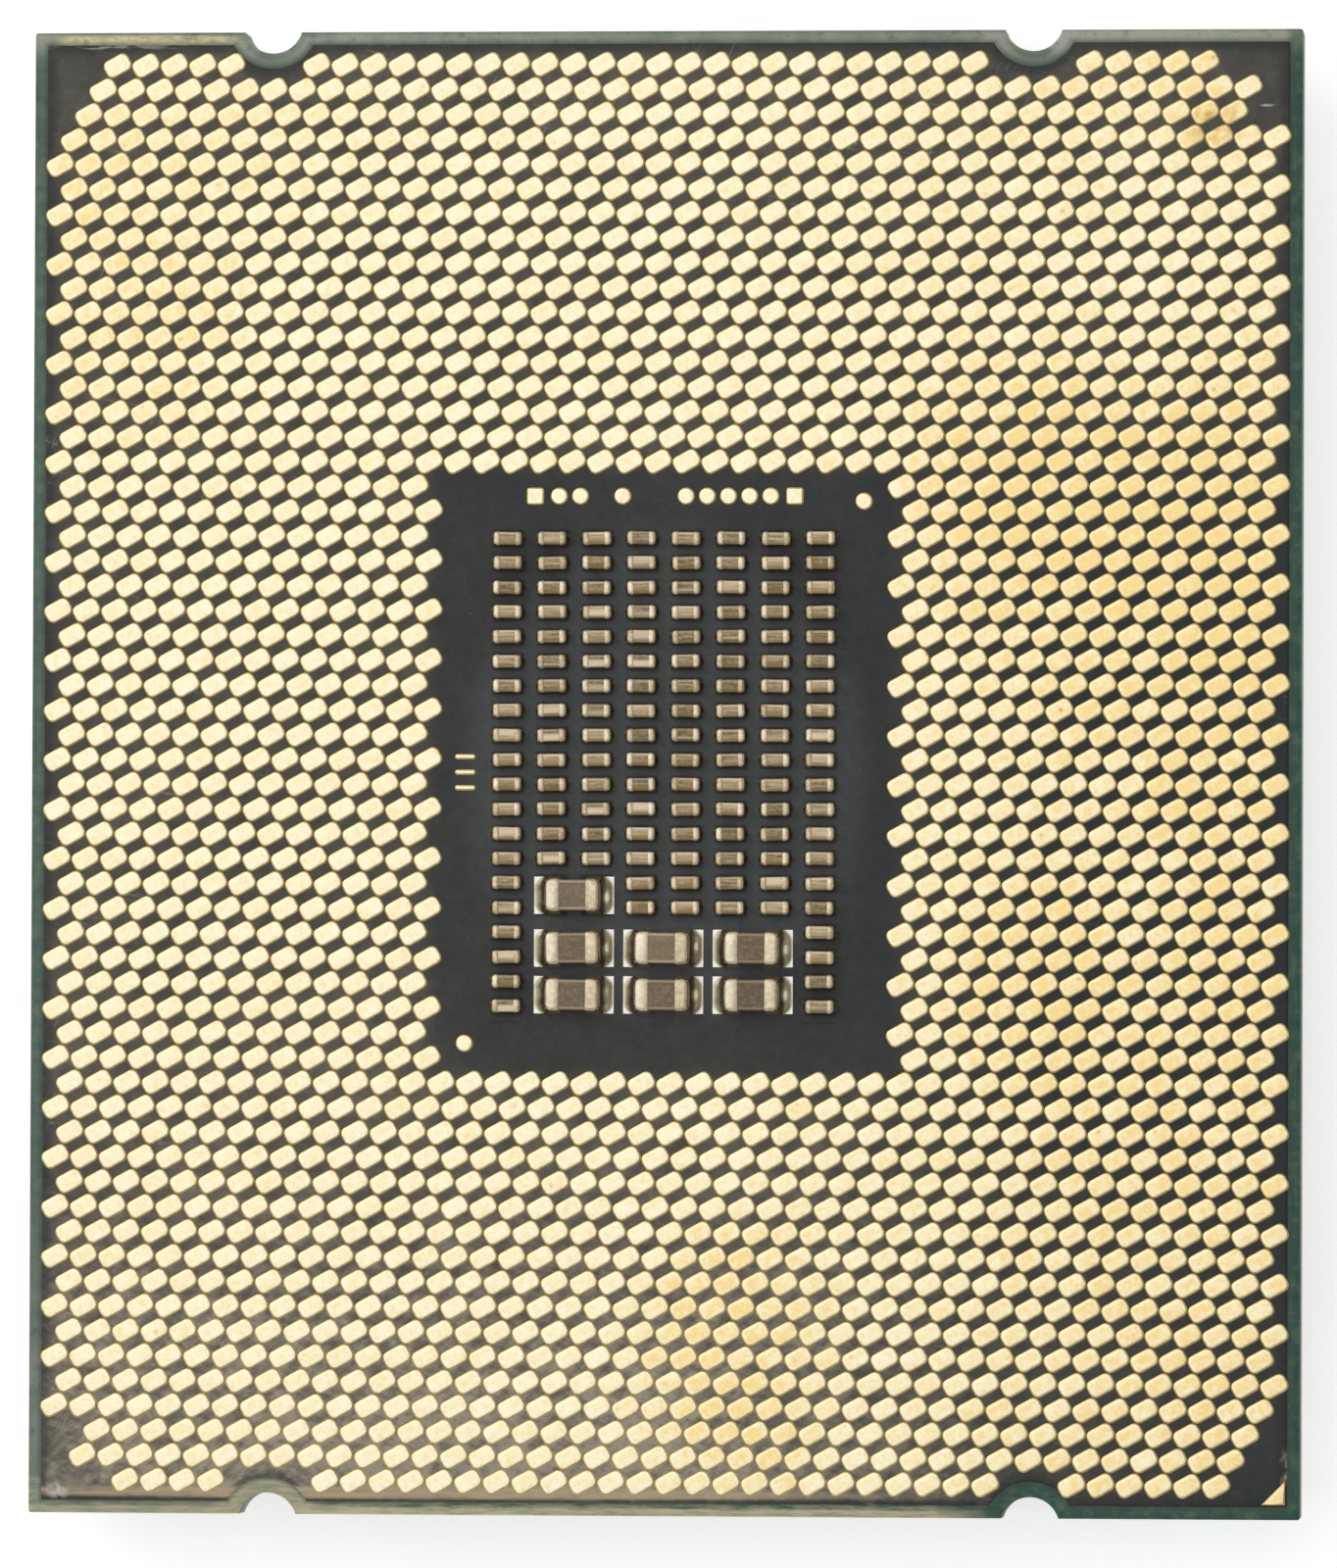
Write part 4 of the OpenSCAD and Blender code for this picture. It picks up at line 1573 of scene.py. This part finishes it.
@dataclass
class SolderFillet:
    """Solder joint at the end of a capacitor: thin under the cup, climbing its end face.

    Its hollow may hold a level bead. Places in it are shares: out from the end face to the toe, and
    to the side from the middle.
    """

    lip: float
    corner_flat: float
    steep: float
    # how much painted highlight the corners and the toe get
    shine: float = 1.0
    # least painted shade over the whole joint
    dirt: float = 0.3
    # how far out from the cup the painted shade deepens
    reach: float = 0.62
    bead: float = 0.1
    bead_share: float = 0.8
    bead_out: float = 0.46
    bead_size: Pair = (0.24, 0.36)
    bead_level: float = 2.2
    corner_drop: float = 0.55
    # oval, start and fade of the painted highlight on the level corners
    clean_oval: Pair = (0.781, 0.875)
    clean_from: float = 0.87
    clean_fade: float = 0.20
    toe_from: float = 0.86
    toe_shine: float = 0.6
    steps_out: int = 10
    steps_across: int = 18

    def height(self, out: float, side: float, rise: float) -> float:
        """Height of the solder's surface.

        Args:
            out: share of the way from the end face to the toe.
            side: share of the way from the middle to the side.
            rise: height of the solder on the end face.

        Returns:
            The height above the board.
        """
        climb = self.climb(out, side)
        level = min(self.bead_level * self.bead_at(out, side), 1.0)
        climb += level * (self.climb(self.bead_out, side) - climb)
        return self.lip + (rise - self.lip) * climb

    def climb(self, out: float, side: float) -> float:
        """Share of the full rise that the plain hollow surface has at a place.

        Args:
            out: share of the way from the end face to the toe.
            side: share of the way from the middle to the side.

        Returns:
            The share, from none to full.
        """
        corner = unit((abs(side) - self.corner_flat) / (1 - self.corner_flat))
        corner = corner * corner * (3 - 2 * corner)
        corner_steep = 3 * self.steep + 1
        slope = (1 - corner) * (1 - out) ** self.steep + corner * (1 - out) ** corner_steep
        return slope * (1 - self.corner_drop * corner)

    def bead_at(self, out: float, side: float) -> float:
        """How much of the level bead in the hollow lies at a place, from none to full.

        Args:
            out: share of the way from the end face to the toe.
            side: share of the way from the middle to the side.

        Returns:
            The bead's share at that place.
        """
        half_out, half_side = self.bead_size
        square = ((out - self.bead_out) / half_out) ** 2 + ((side - self.bead) / half_side) ** 2
        return self.bead_share * math.exp(-square ** 2)

    def hollow(self, out: float, side: float) -> float:
        """How deep a place lies in painted shade: none at the painted highlight on the level corners and
        the toe, full against the cup.

        Args:
            out: share of the way from the end face to the toe.
            side: share of the way from the middle to the side.

        Returns:
            The painted shade, from none to full.
        """
        by_out, by_side = self.clean_oval
        corner = unit((by_side * side ** 2 + by_out * out ** 2 - self.clean_from) / self.clean_fade)
        slope = max(1.0 - out / self.reach, 0.0)
        toe = self.toe_shine * unit((out - self.toe_from) / (1 - self.toe_from))
        return (self.dirt + (1 - self.dirt) * slope) * (1 - self.shine * max(corner, toe))

    def add(self, shell: Shell, solid: Solid, cup: Solid, outward: int) -> None:
        """Adds one joint.

        Args:
            shell: the mesh.
            solid: the CAD joint that it stands for.
            cup: the capacitor's cup that it holds.
            outward: the side that the cup's end faces, 1 for +X and -1 for -X.
        """
        toe, heel, face = solid.high.x, solid.low.x, cup.high.x
        if outward < 0:
            toe, heel, face = solid.low.x, solid.high.x, cup.low.x
        base, half, mid_y = solid.low.z, solid.size.y / 2, solid.centre.y
        under, rise = cup.low.z - base, solid.high.z - base
        tops: list[list[int]] = []
        bottoms: list[list[int]] = []
        sides = [2 * k / self.steps_across - 1 for k in range(self.steps_across + 1)]
        stations: list[tuple[float, float | None]] = [(heel, None), (face, None)]
        for k in range(self.steps_out + 1):
            stations.append((face + (toe - face) * k / self.steps_out, k / self.steps_out))
        for x, out in stations:
            top, bottom = [], []
            for side in sides:
                # under and against the cup the joint is in full painted shade
                y, z, values = mid_y + side * half, under, {"hollow": 1.0}
                if out is not None:
                    z = self.height(out, side, rise)
                    # painted shade and painted highlight values for the finish, worked out from the joint's
                    # shape
                    values = {"hollow": self.hollow(out, side), "film": self.bead_at(out, side)}
                top += shell.row([Vector((x, y, base + z))], **values)
                bottom += shell.row([Vector((x, y, base))])
            tops.append(top)
            bottoms.append(bottom)
        self.skin(shell, tops, bottoms, outward > 0)

    @staticmethod
    def skin(shell: Shell, tops: list[list[int]], bottoms: list[list[int]], outward: bool) -> None:
        """Joins the joint's top, bottom, sides and ends into one closed skin.

        Args:
            shell: the mesh.
            tops: rows of points on its surface, from the heel to the toe.
            bottoms: rows of points on the board under them.
            outward: true where the rows run towards +X.
        """
        def face(*corners: int) -> None:
            """Adds a face, turned over where the rows run towards -X."""
            shell.faces.append(corners if outward else tuple(reversed(corners)))

        last = len(tops) - 1
        for i in range(last):
            for k in range(len(tops[0]) - 1):
                face(tops[i][k], tops[i + 1][k], tops[i + 1][k + 1], tops[i][k + 1])
                face(bottoms[i][k + 1], bottoms[i + 1][k + 1], bottoms[i + 1][k], bottoms[i][k])
            face(bottoms[i][0], bottoms[i + 1][0], tops[i + 1][0], tops[i][0])
            face(tops[i][-1], tops[i + 1][-1], bottoms[i + 1][-1], bottoms[i][-1])
        for k in range(len(tops[0]) - 1):
            face(bottoms[0][k], tops[0][k], tops[0][k + 1], bottoms[0][k + 1])
            face(tops[last][k], bottoms[last][k], bottoms[last][k + 1], tops[last][k + 1])


@dataclass
class SmallCapacitors:
    """The bank of small chip capacitors in the window."""

    edge: float = 0.085 * MM
    end_edge: float = 0.07 * MM
    plan_corner: float = 0.13 * MM
    wall: float = 0.02 * MM
    steps: int = 4
    roll: float = 3.5
    yaw: float = 1.3
    shift: float = 0.012 * MM
    seed: int = 7

    def build(self) -> list[bpy.types.Object]:
        """Builds the bodies, cups and joints of all the small capacitors, each one slightly out of true.

        Returns:
            The three pieces.
        """
        draw = random.Random(self.seed)
        bodies = solids_of("small_capacitor_bodies")
        cups = solids_of("small_capacitor_terminals")
        joints = solids_of("small_capacitor_joints")
        ceramic, metal, solder = Shell("tone", "glaze", "across"), Shell("tone"), Shell("hollow", "film")
        # small joints: no painted highlight and almost all painted shade, so they read dark beside the caps
        fillet = SolderFillet(
            lip=0.012 * MM, corner_flat=0.05, steep=1.1, shine=0.0, dirt=0.9, bead_share=0.0,
            steps_out=5, steps_across=8,
        )
        for number, body in enumerate(bodies):
            left, right = cups[2 * number], cups[2 * number + 1]
            shape = ChipCapacitor(
                right.high.x - left.low.x, left.size.y, left.size.z, left.size.x,
                self.wall, self.edge, self.end_edge, self.plan_corner, self.steps,
            )
            tilt = Euler((
                math.radians(draw.uniform(-self.roll, self.roll)), 0.0,
                math.radians(draw.uniform(-self.yaw, self.yaw)),
            )).to_matrix().to_4x4()
            place = Vector((
                body.centre.x + draw.uniform(-self.shift, self.shift),
                body.centre.y + draw.uniform(-self.shift, self.shift),
                left.low.z,
            ))
            middle = Matrix.Translation((0.0, 0.0, shape.height / 2))
            seat = Matrix.Translation(place) @ middle @ tilt @ middle.inverted()
            # per piece: a tone, and how much painted highlight stripe it shows
            tone, glaze = draw.random(), draw.random()
            shape.add_body(ceramic, seat, tone, glaze)
            shape.add_cups(metal, seat, (draw.random(), draw.random()))
            fillet.add(solder, joints[2 * number], left, -1)
            fillet.add(solder, joints[2 * number + 1], right, 1)
        return [
            ceramic.piece("small_capacitor_ceramic"),
            metal.piece("small_capacitor_cups"),
            solder.piece("small_capacitor_solder"),
        ]

    def dress(self, ceramic: bpy.types.Object, metal: bpy.types.Object, solder: bpy.types.Object) -> None:
        """Gives the three pieces their finishes.

        Args:
            ceramic: the bodies.
            metal: the cups.
            solder: the joints.
        """
        settle(ceramic, SMALL_CERAMIC, "small_capacitor_bodies")
        settle(metal, TIN, "small_capacitor_terminals")
        settle(solder, SOLDER, "small_capacitor_joints")


@dataclass
class LargeCapacitor:
    """One of the large chip capacitors below the bank."""

    number: int
    edge: float = 0.12 * MM
    end_edge: float = 0.13 * MM
    plan_corner: float = 0.26 * MM
    wall: float = 0.03 * MM
    steps: int = 6
    yaw: float = 0.8
    # painted light and shade: left cups lighter, right cups darker
    right_tones: Pair = (0.1, 0.65)
    left_tones: Pair = (0.8, 1.1)
    bead_places: Pair = (-0.3, 0.5)
    bead_shares: Pair = (0.3, 1.2)
    # painted shade reaches further from the cup on the left joints than on the right ones
    reach: float = 0.52
    reach_change: float = 0.10
    seed: int = 300

    def node(self, kind: str) -> str:
        """Name of this capacitor's CAD node of a kind."""
        return f"large_capacitor_{kind}_{self.number}"

    def build(self) -> list[bpy.types.Object]:
        """Builds the capacitor's body, cups and joints.

        Returns:
            The three pieces.
        """
        draw = random.Random(self.seed + self.number)
        left, right = solids_of(self.node("terminals"))
        joints = solids_of(self.node("joints"))
        shape = ChipCapacitor(
            right.high.x - left.low.x, left.size.y, left.size.z, left.size.x,
            self.wall, self.edge, self.end_edge, self.plan_corner, self.steps,
        )
        middle = (left.centre + right.centre) / 2
        turn = math.radians(draw.uniform(-self.yaw, self.yaw))
        seat = Matrix.Translation((middle.x, middle.y, left.low.z)) @ Matrix.Rotation(turn, 4, "Z")
        ceramic, metal, solder = Shell("tone", "glaze", "across"), Shell("tone"), Shell("hollow", "film")
        shape.add_body(ceramic, seat, draw.random(), 0.0)
        tones = (draw.uniform(*self.right_tones), draw.uniform(*self.left_tones))
        shape.add_cups(metal, seat, tones)
        for joint, cup, outward in ((joints[0], left, -1), (joints[1], right, 1)):
            fillet = SolderFillet(
                lip=0.03 * MM, corner_flat=0.42, steep=2.4, dirt=0.60,
                reach=self.reach - self.reach_change * outward,
                bead=draw.uniform(*self.bead_places),
                # only right joints get the level bead and its painted highlight
                bead_share=max(outward, 0) * draw.uniform(*self.bead_shares),
            )
            fillet.add(solder, joint, cup, outward)
        return [
            ceramic.piece(f"large_capacitor_{self.number}_ceramic"),
            metal.piece(f"large_capacitor_{self.number}_cups"),
            solder.piece(f"large_capacitor_{self.number}_solder"),
        ]

    def dress(self, ceramic: bpy.types.Object, metal: bpy.types.Object, solder: bpy.types.Object) -> None:
        """Gives the three pieces their finishes.

        Args:
            ceramic: the body.
            metal: the cups.
            solder: the joints.
        """
        settle(ceramic, LARGE_CERAMIC, self.node("body"))
        settle(metal, TIN, self.node("terminals"))
        settle(solder, SOLDER, self.node("joints"))


@dataclass
class LidStack:
    """What lies under the board: die, underfill, soft metal, lid and its sealant."""

    def build(self) -> dict[str, Finish]:
        """Names the CAD solids that stay in view.

        Returns:
            The finish of each solid, by its node.
        """
        return {
            "die": SILICON,
            "underfill": RESIN,
            "thermal_interface": SOFT_METAL,
            "lid": NICKEL,
            "lid_sealant": SEALANT,
            "lid_side_triangle": GOLD,
        }

    def dress(self, finishes: dict[str, Finish]) -> None:
        """Gives each solid its finish."""
        for node, finish in finishes.items():
            dress_node(node, finish)


@dataclass(frozen=True)
class FloorPaper(Finish):
    """Pale studio paper."""

    name: str = "floor_paper"
    slot: Slot = Slot.BOARD
    light: Colour = (0.93, 0.93, 0.925)
    shaded: Colour = (0.89, 0.89, 0.885)
    glow: float = 0.57

    def lay(self, sheet: NodeSheet, shader: bpy.types.Node) -> None:
        """Lays a nearly even white with a faint fibre, clear when it is seen from below.

        Args:
            sheet: the material's nodes.
            shader: the Principled shader that they feed.
        """
        surface = shader.outputs["BSDF"].links[0].to_socket
        fibre = sheet.effect(Effect.GRAIN, scale=0.4)
        sheet.feed(shader.inputs["Base Color"], sheet.mix(fibre, self.shaded, self.light))
        shader.inputs["Roughness"].default_value = 0.9
        sheet.feed(shader.inputs["Emission Color"], WHITE)
        shader.inputs["Emission Strength"].default_value = self.glow
        beneath = sheet.add("ShaderNodeNewGeometry").outputs["Backfacing"]
        clear = sheet.add("ShaderNodeBsdfTransparent").outputs["BSDF"]
        seen = sheet.add("ShaderNodeMixShader", {0: beneath, 1: shader.outputs["BSDF"], 2: clear})
        sheet.feed(surface, seen.outputs[0])


@dataclass(frozen=True)
class Panel:
    """One soft light panel that faces the package."""

    name: str
    place: tuple[float, float, float]
    size: float
    radiance: float

    def light(self) -> bpy.types.Object:
        """Makes the panel's lamp, with its power worked out from its radiance and area.

        Returns:
            The lamp.
        """
        lamp = bpy.data.lights.new(self.name, "AREA")
        lamp.shape = "SQUARE"
        lamp.size = self.size
        lamp.energy = self.radiance * math.pi * self.size ** 2
        made = bpy.data.objects.new(self.name, lamp)
        made.location = self.place
        made.rotation_euler = (-Vector(self.place)).to_track_quat("-Z", "Y").to_euler()
        bpy.context.scene.collection.objects.link(made)
        return made


@dataclass
class Studio:
    """Floor, lights and camera."""

    floor_half: float = 2.0
    floor_drop: float = 0.01 * MM
    walls: Colour = (0.70, 0.693, 0.676)
    ceiling: Colour = (0.095, 0.0942, 0.0910)
    ceiling_fade: Pair = (0.3, 0.75)
    panels: tuple[Panel, ...] = (
        Panel("overhead_panel", (-0.20, 0.14, 0.93), 1.05, 1.14),
        Panel("left_panel", (-0.60, 0.50, 0.70), 0.45, 1.8),
    )
    image_height: int = 1600
    focal_pixels: float = 12712.0
    sensor: float = 36.0
    camera_place: tuple[float, float, float] = (36.663 * MM, -12.043 * MM, 443.547 * MM)
    camera_turn: tuple[float, float, float] = (1.52287, 4.75635, 0.15068)

    def build(self) -> None:
        """Builds the floor, the lights and the camera."""
        self.lay_floor()
        for panel in self.panels:
            panel.light()
        world = bpy.data.worlds.new("studio_room")
        world.use_nodes = True
        sheet = NodeSheet(world.node_tree)
        aim = sheet.add("ShaderNodeTexCoord").outputs["Generated"]
        sky = sheet.mix(sheet.fade(sheet.axes(aim)[2], *self.ceiling_fade), self.walls, self.ceiling)
        room = sheet.add("ShaderNodeBackground", {"Color": sky, "Strength": 1.0})
        sheet.add("ShaderNodeOutputWorld", {"Surface": room.outputs[0]})
        bpy.context.scene.world = world
        bpy.context.scene.view_settings.view_transform = "Standard"
        self.place_camera()

    def lay_floor(self) -> None:
        """Lays the floor just under the lid."""
        half, z = self.floor_half, CAD_BOX[0].z - self.floor_drop
        shell = Shell()
        corners = ((-half, -half), (half, -half), (half, half), (-half, half))
        shell.cap(shell.level(corners, z))
        floor = shell.piece("studio_floor")
        floor.data.materials.append(FloorPaper().material())

    def place_camera(self) -> None:
        """Places the camera at the photograph's viewing angle."""
        lens = bpy.data.cameras.new("photo_camera")
        lens.sensor_width = self.sensor
        lens.lens = self.focal_pixels / self.image_height * self.sensor
        camera = bpy.data.objects.new("photo_camera", lens)
        turn = Vector(math.radians(angle) for angle in self.camera_turn)
        camera.matrix_world = Matrix.Translation(self.camera_place) @ Matrix.Rotation(
            turn.length, 4, turn.normalized()
        )
        bpy.context.scene.collection.objects.link(camera)
        bpy.context.scene.camera = camera


def main() -> None:
    """Builds and dresses the package, piece by piece."""
    logging.basicConfig(level=logging.INFO, format="%(name)s: %(message)s")
    Studio().build()
    board = Board()
    board.dress(*board.build())
    pads = GoldPads()
    pads.dress(pads.build())
    bank = SmallCapacitors()
    bank.dress(*bank.build())
    for number in range(1, LARGE_CAPACITORS + 1):
        large = LargeCapacitor(number)
        large.dress(*large.build())
    lid = LidStack()
    lid.dress(lid.build())


if __name__ == "__main__":
    main()
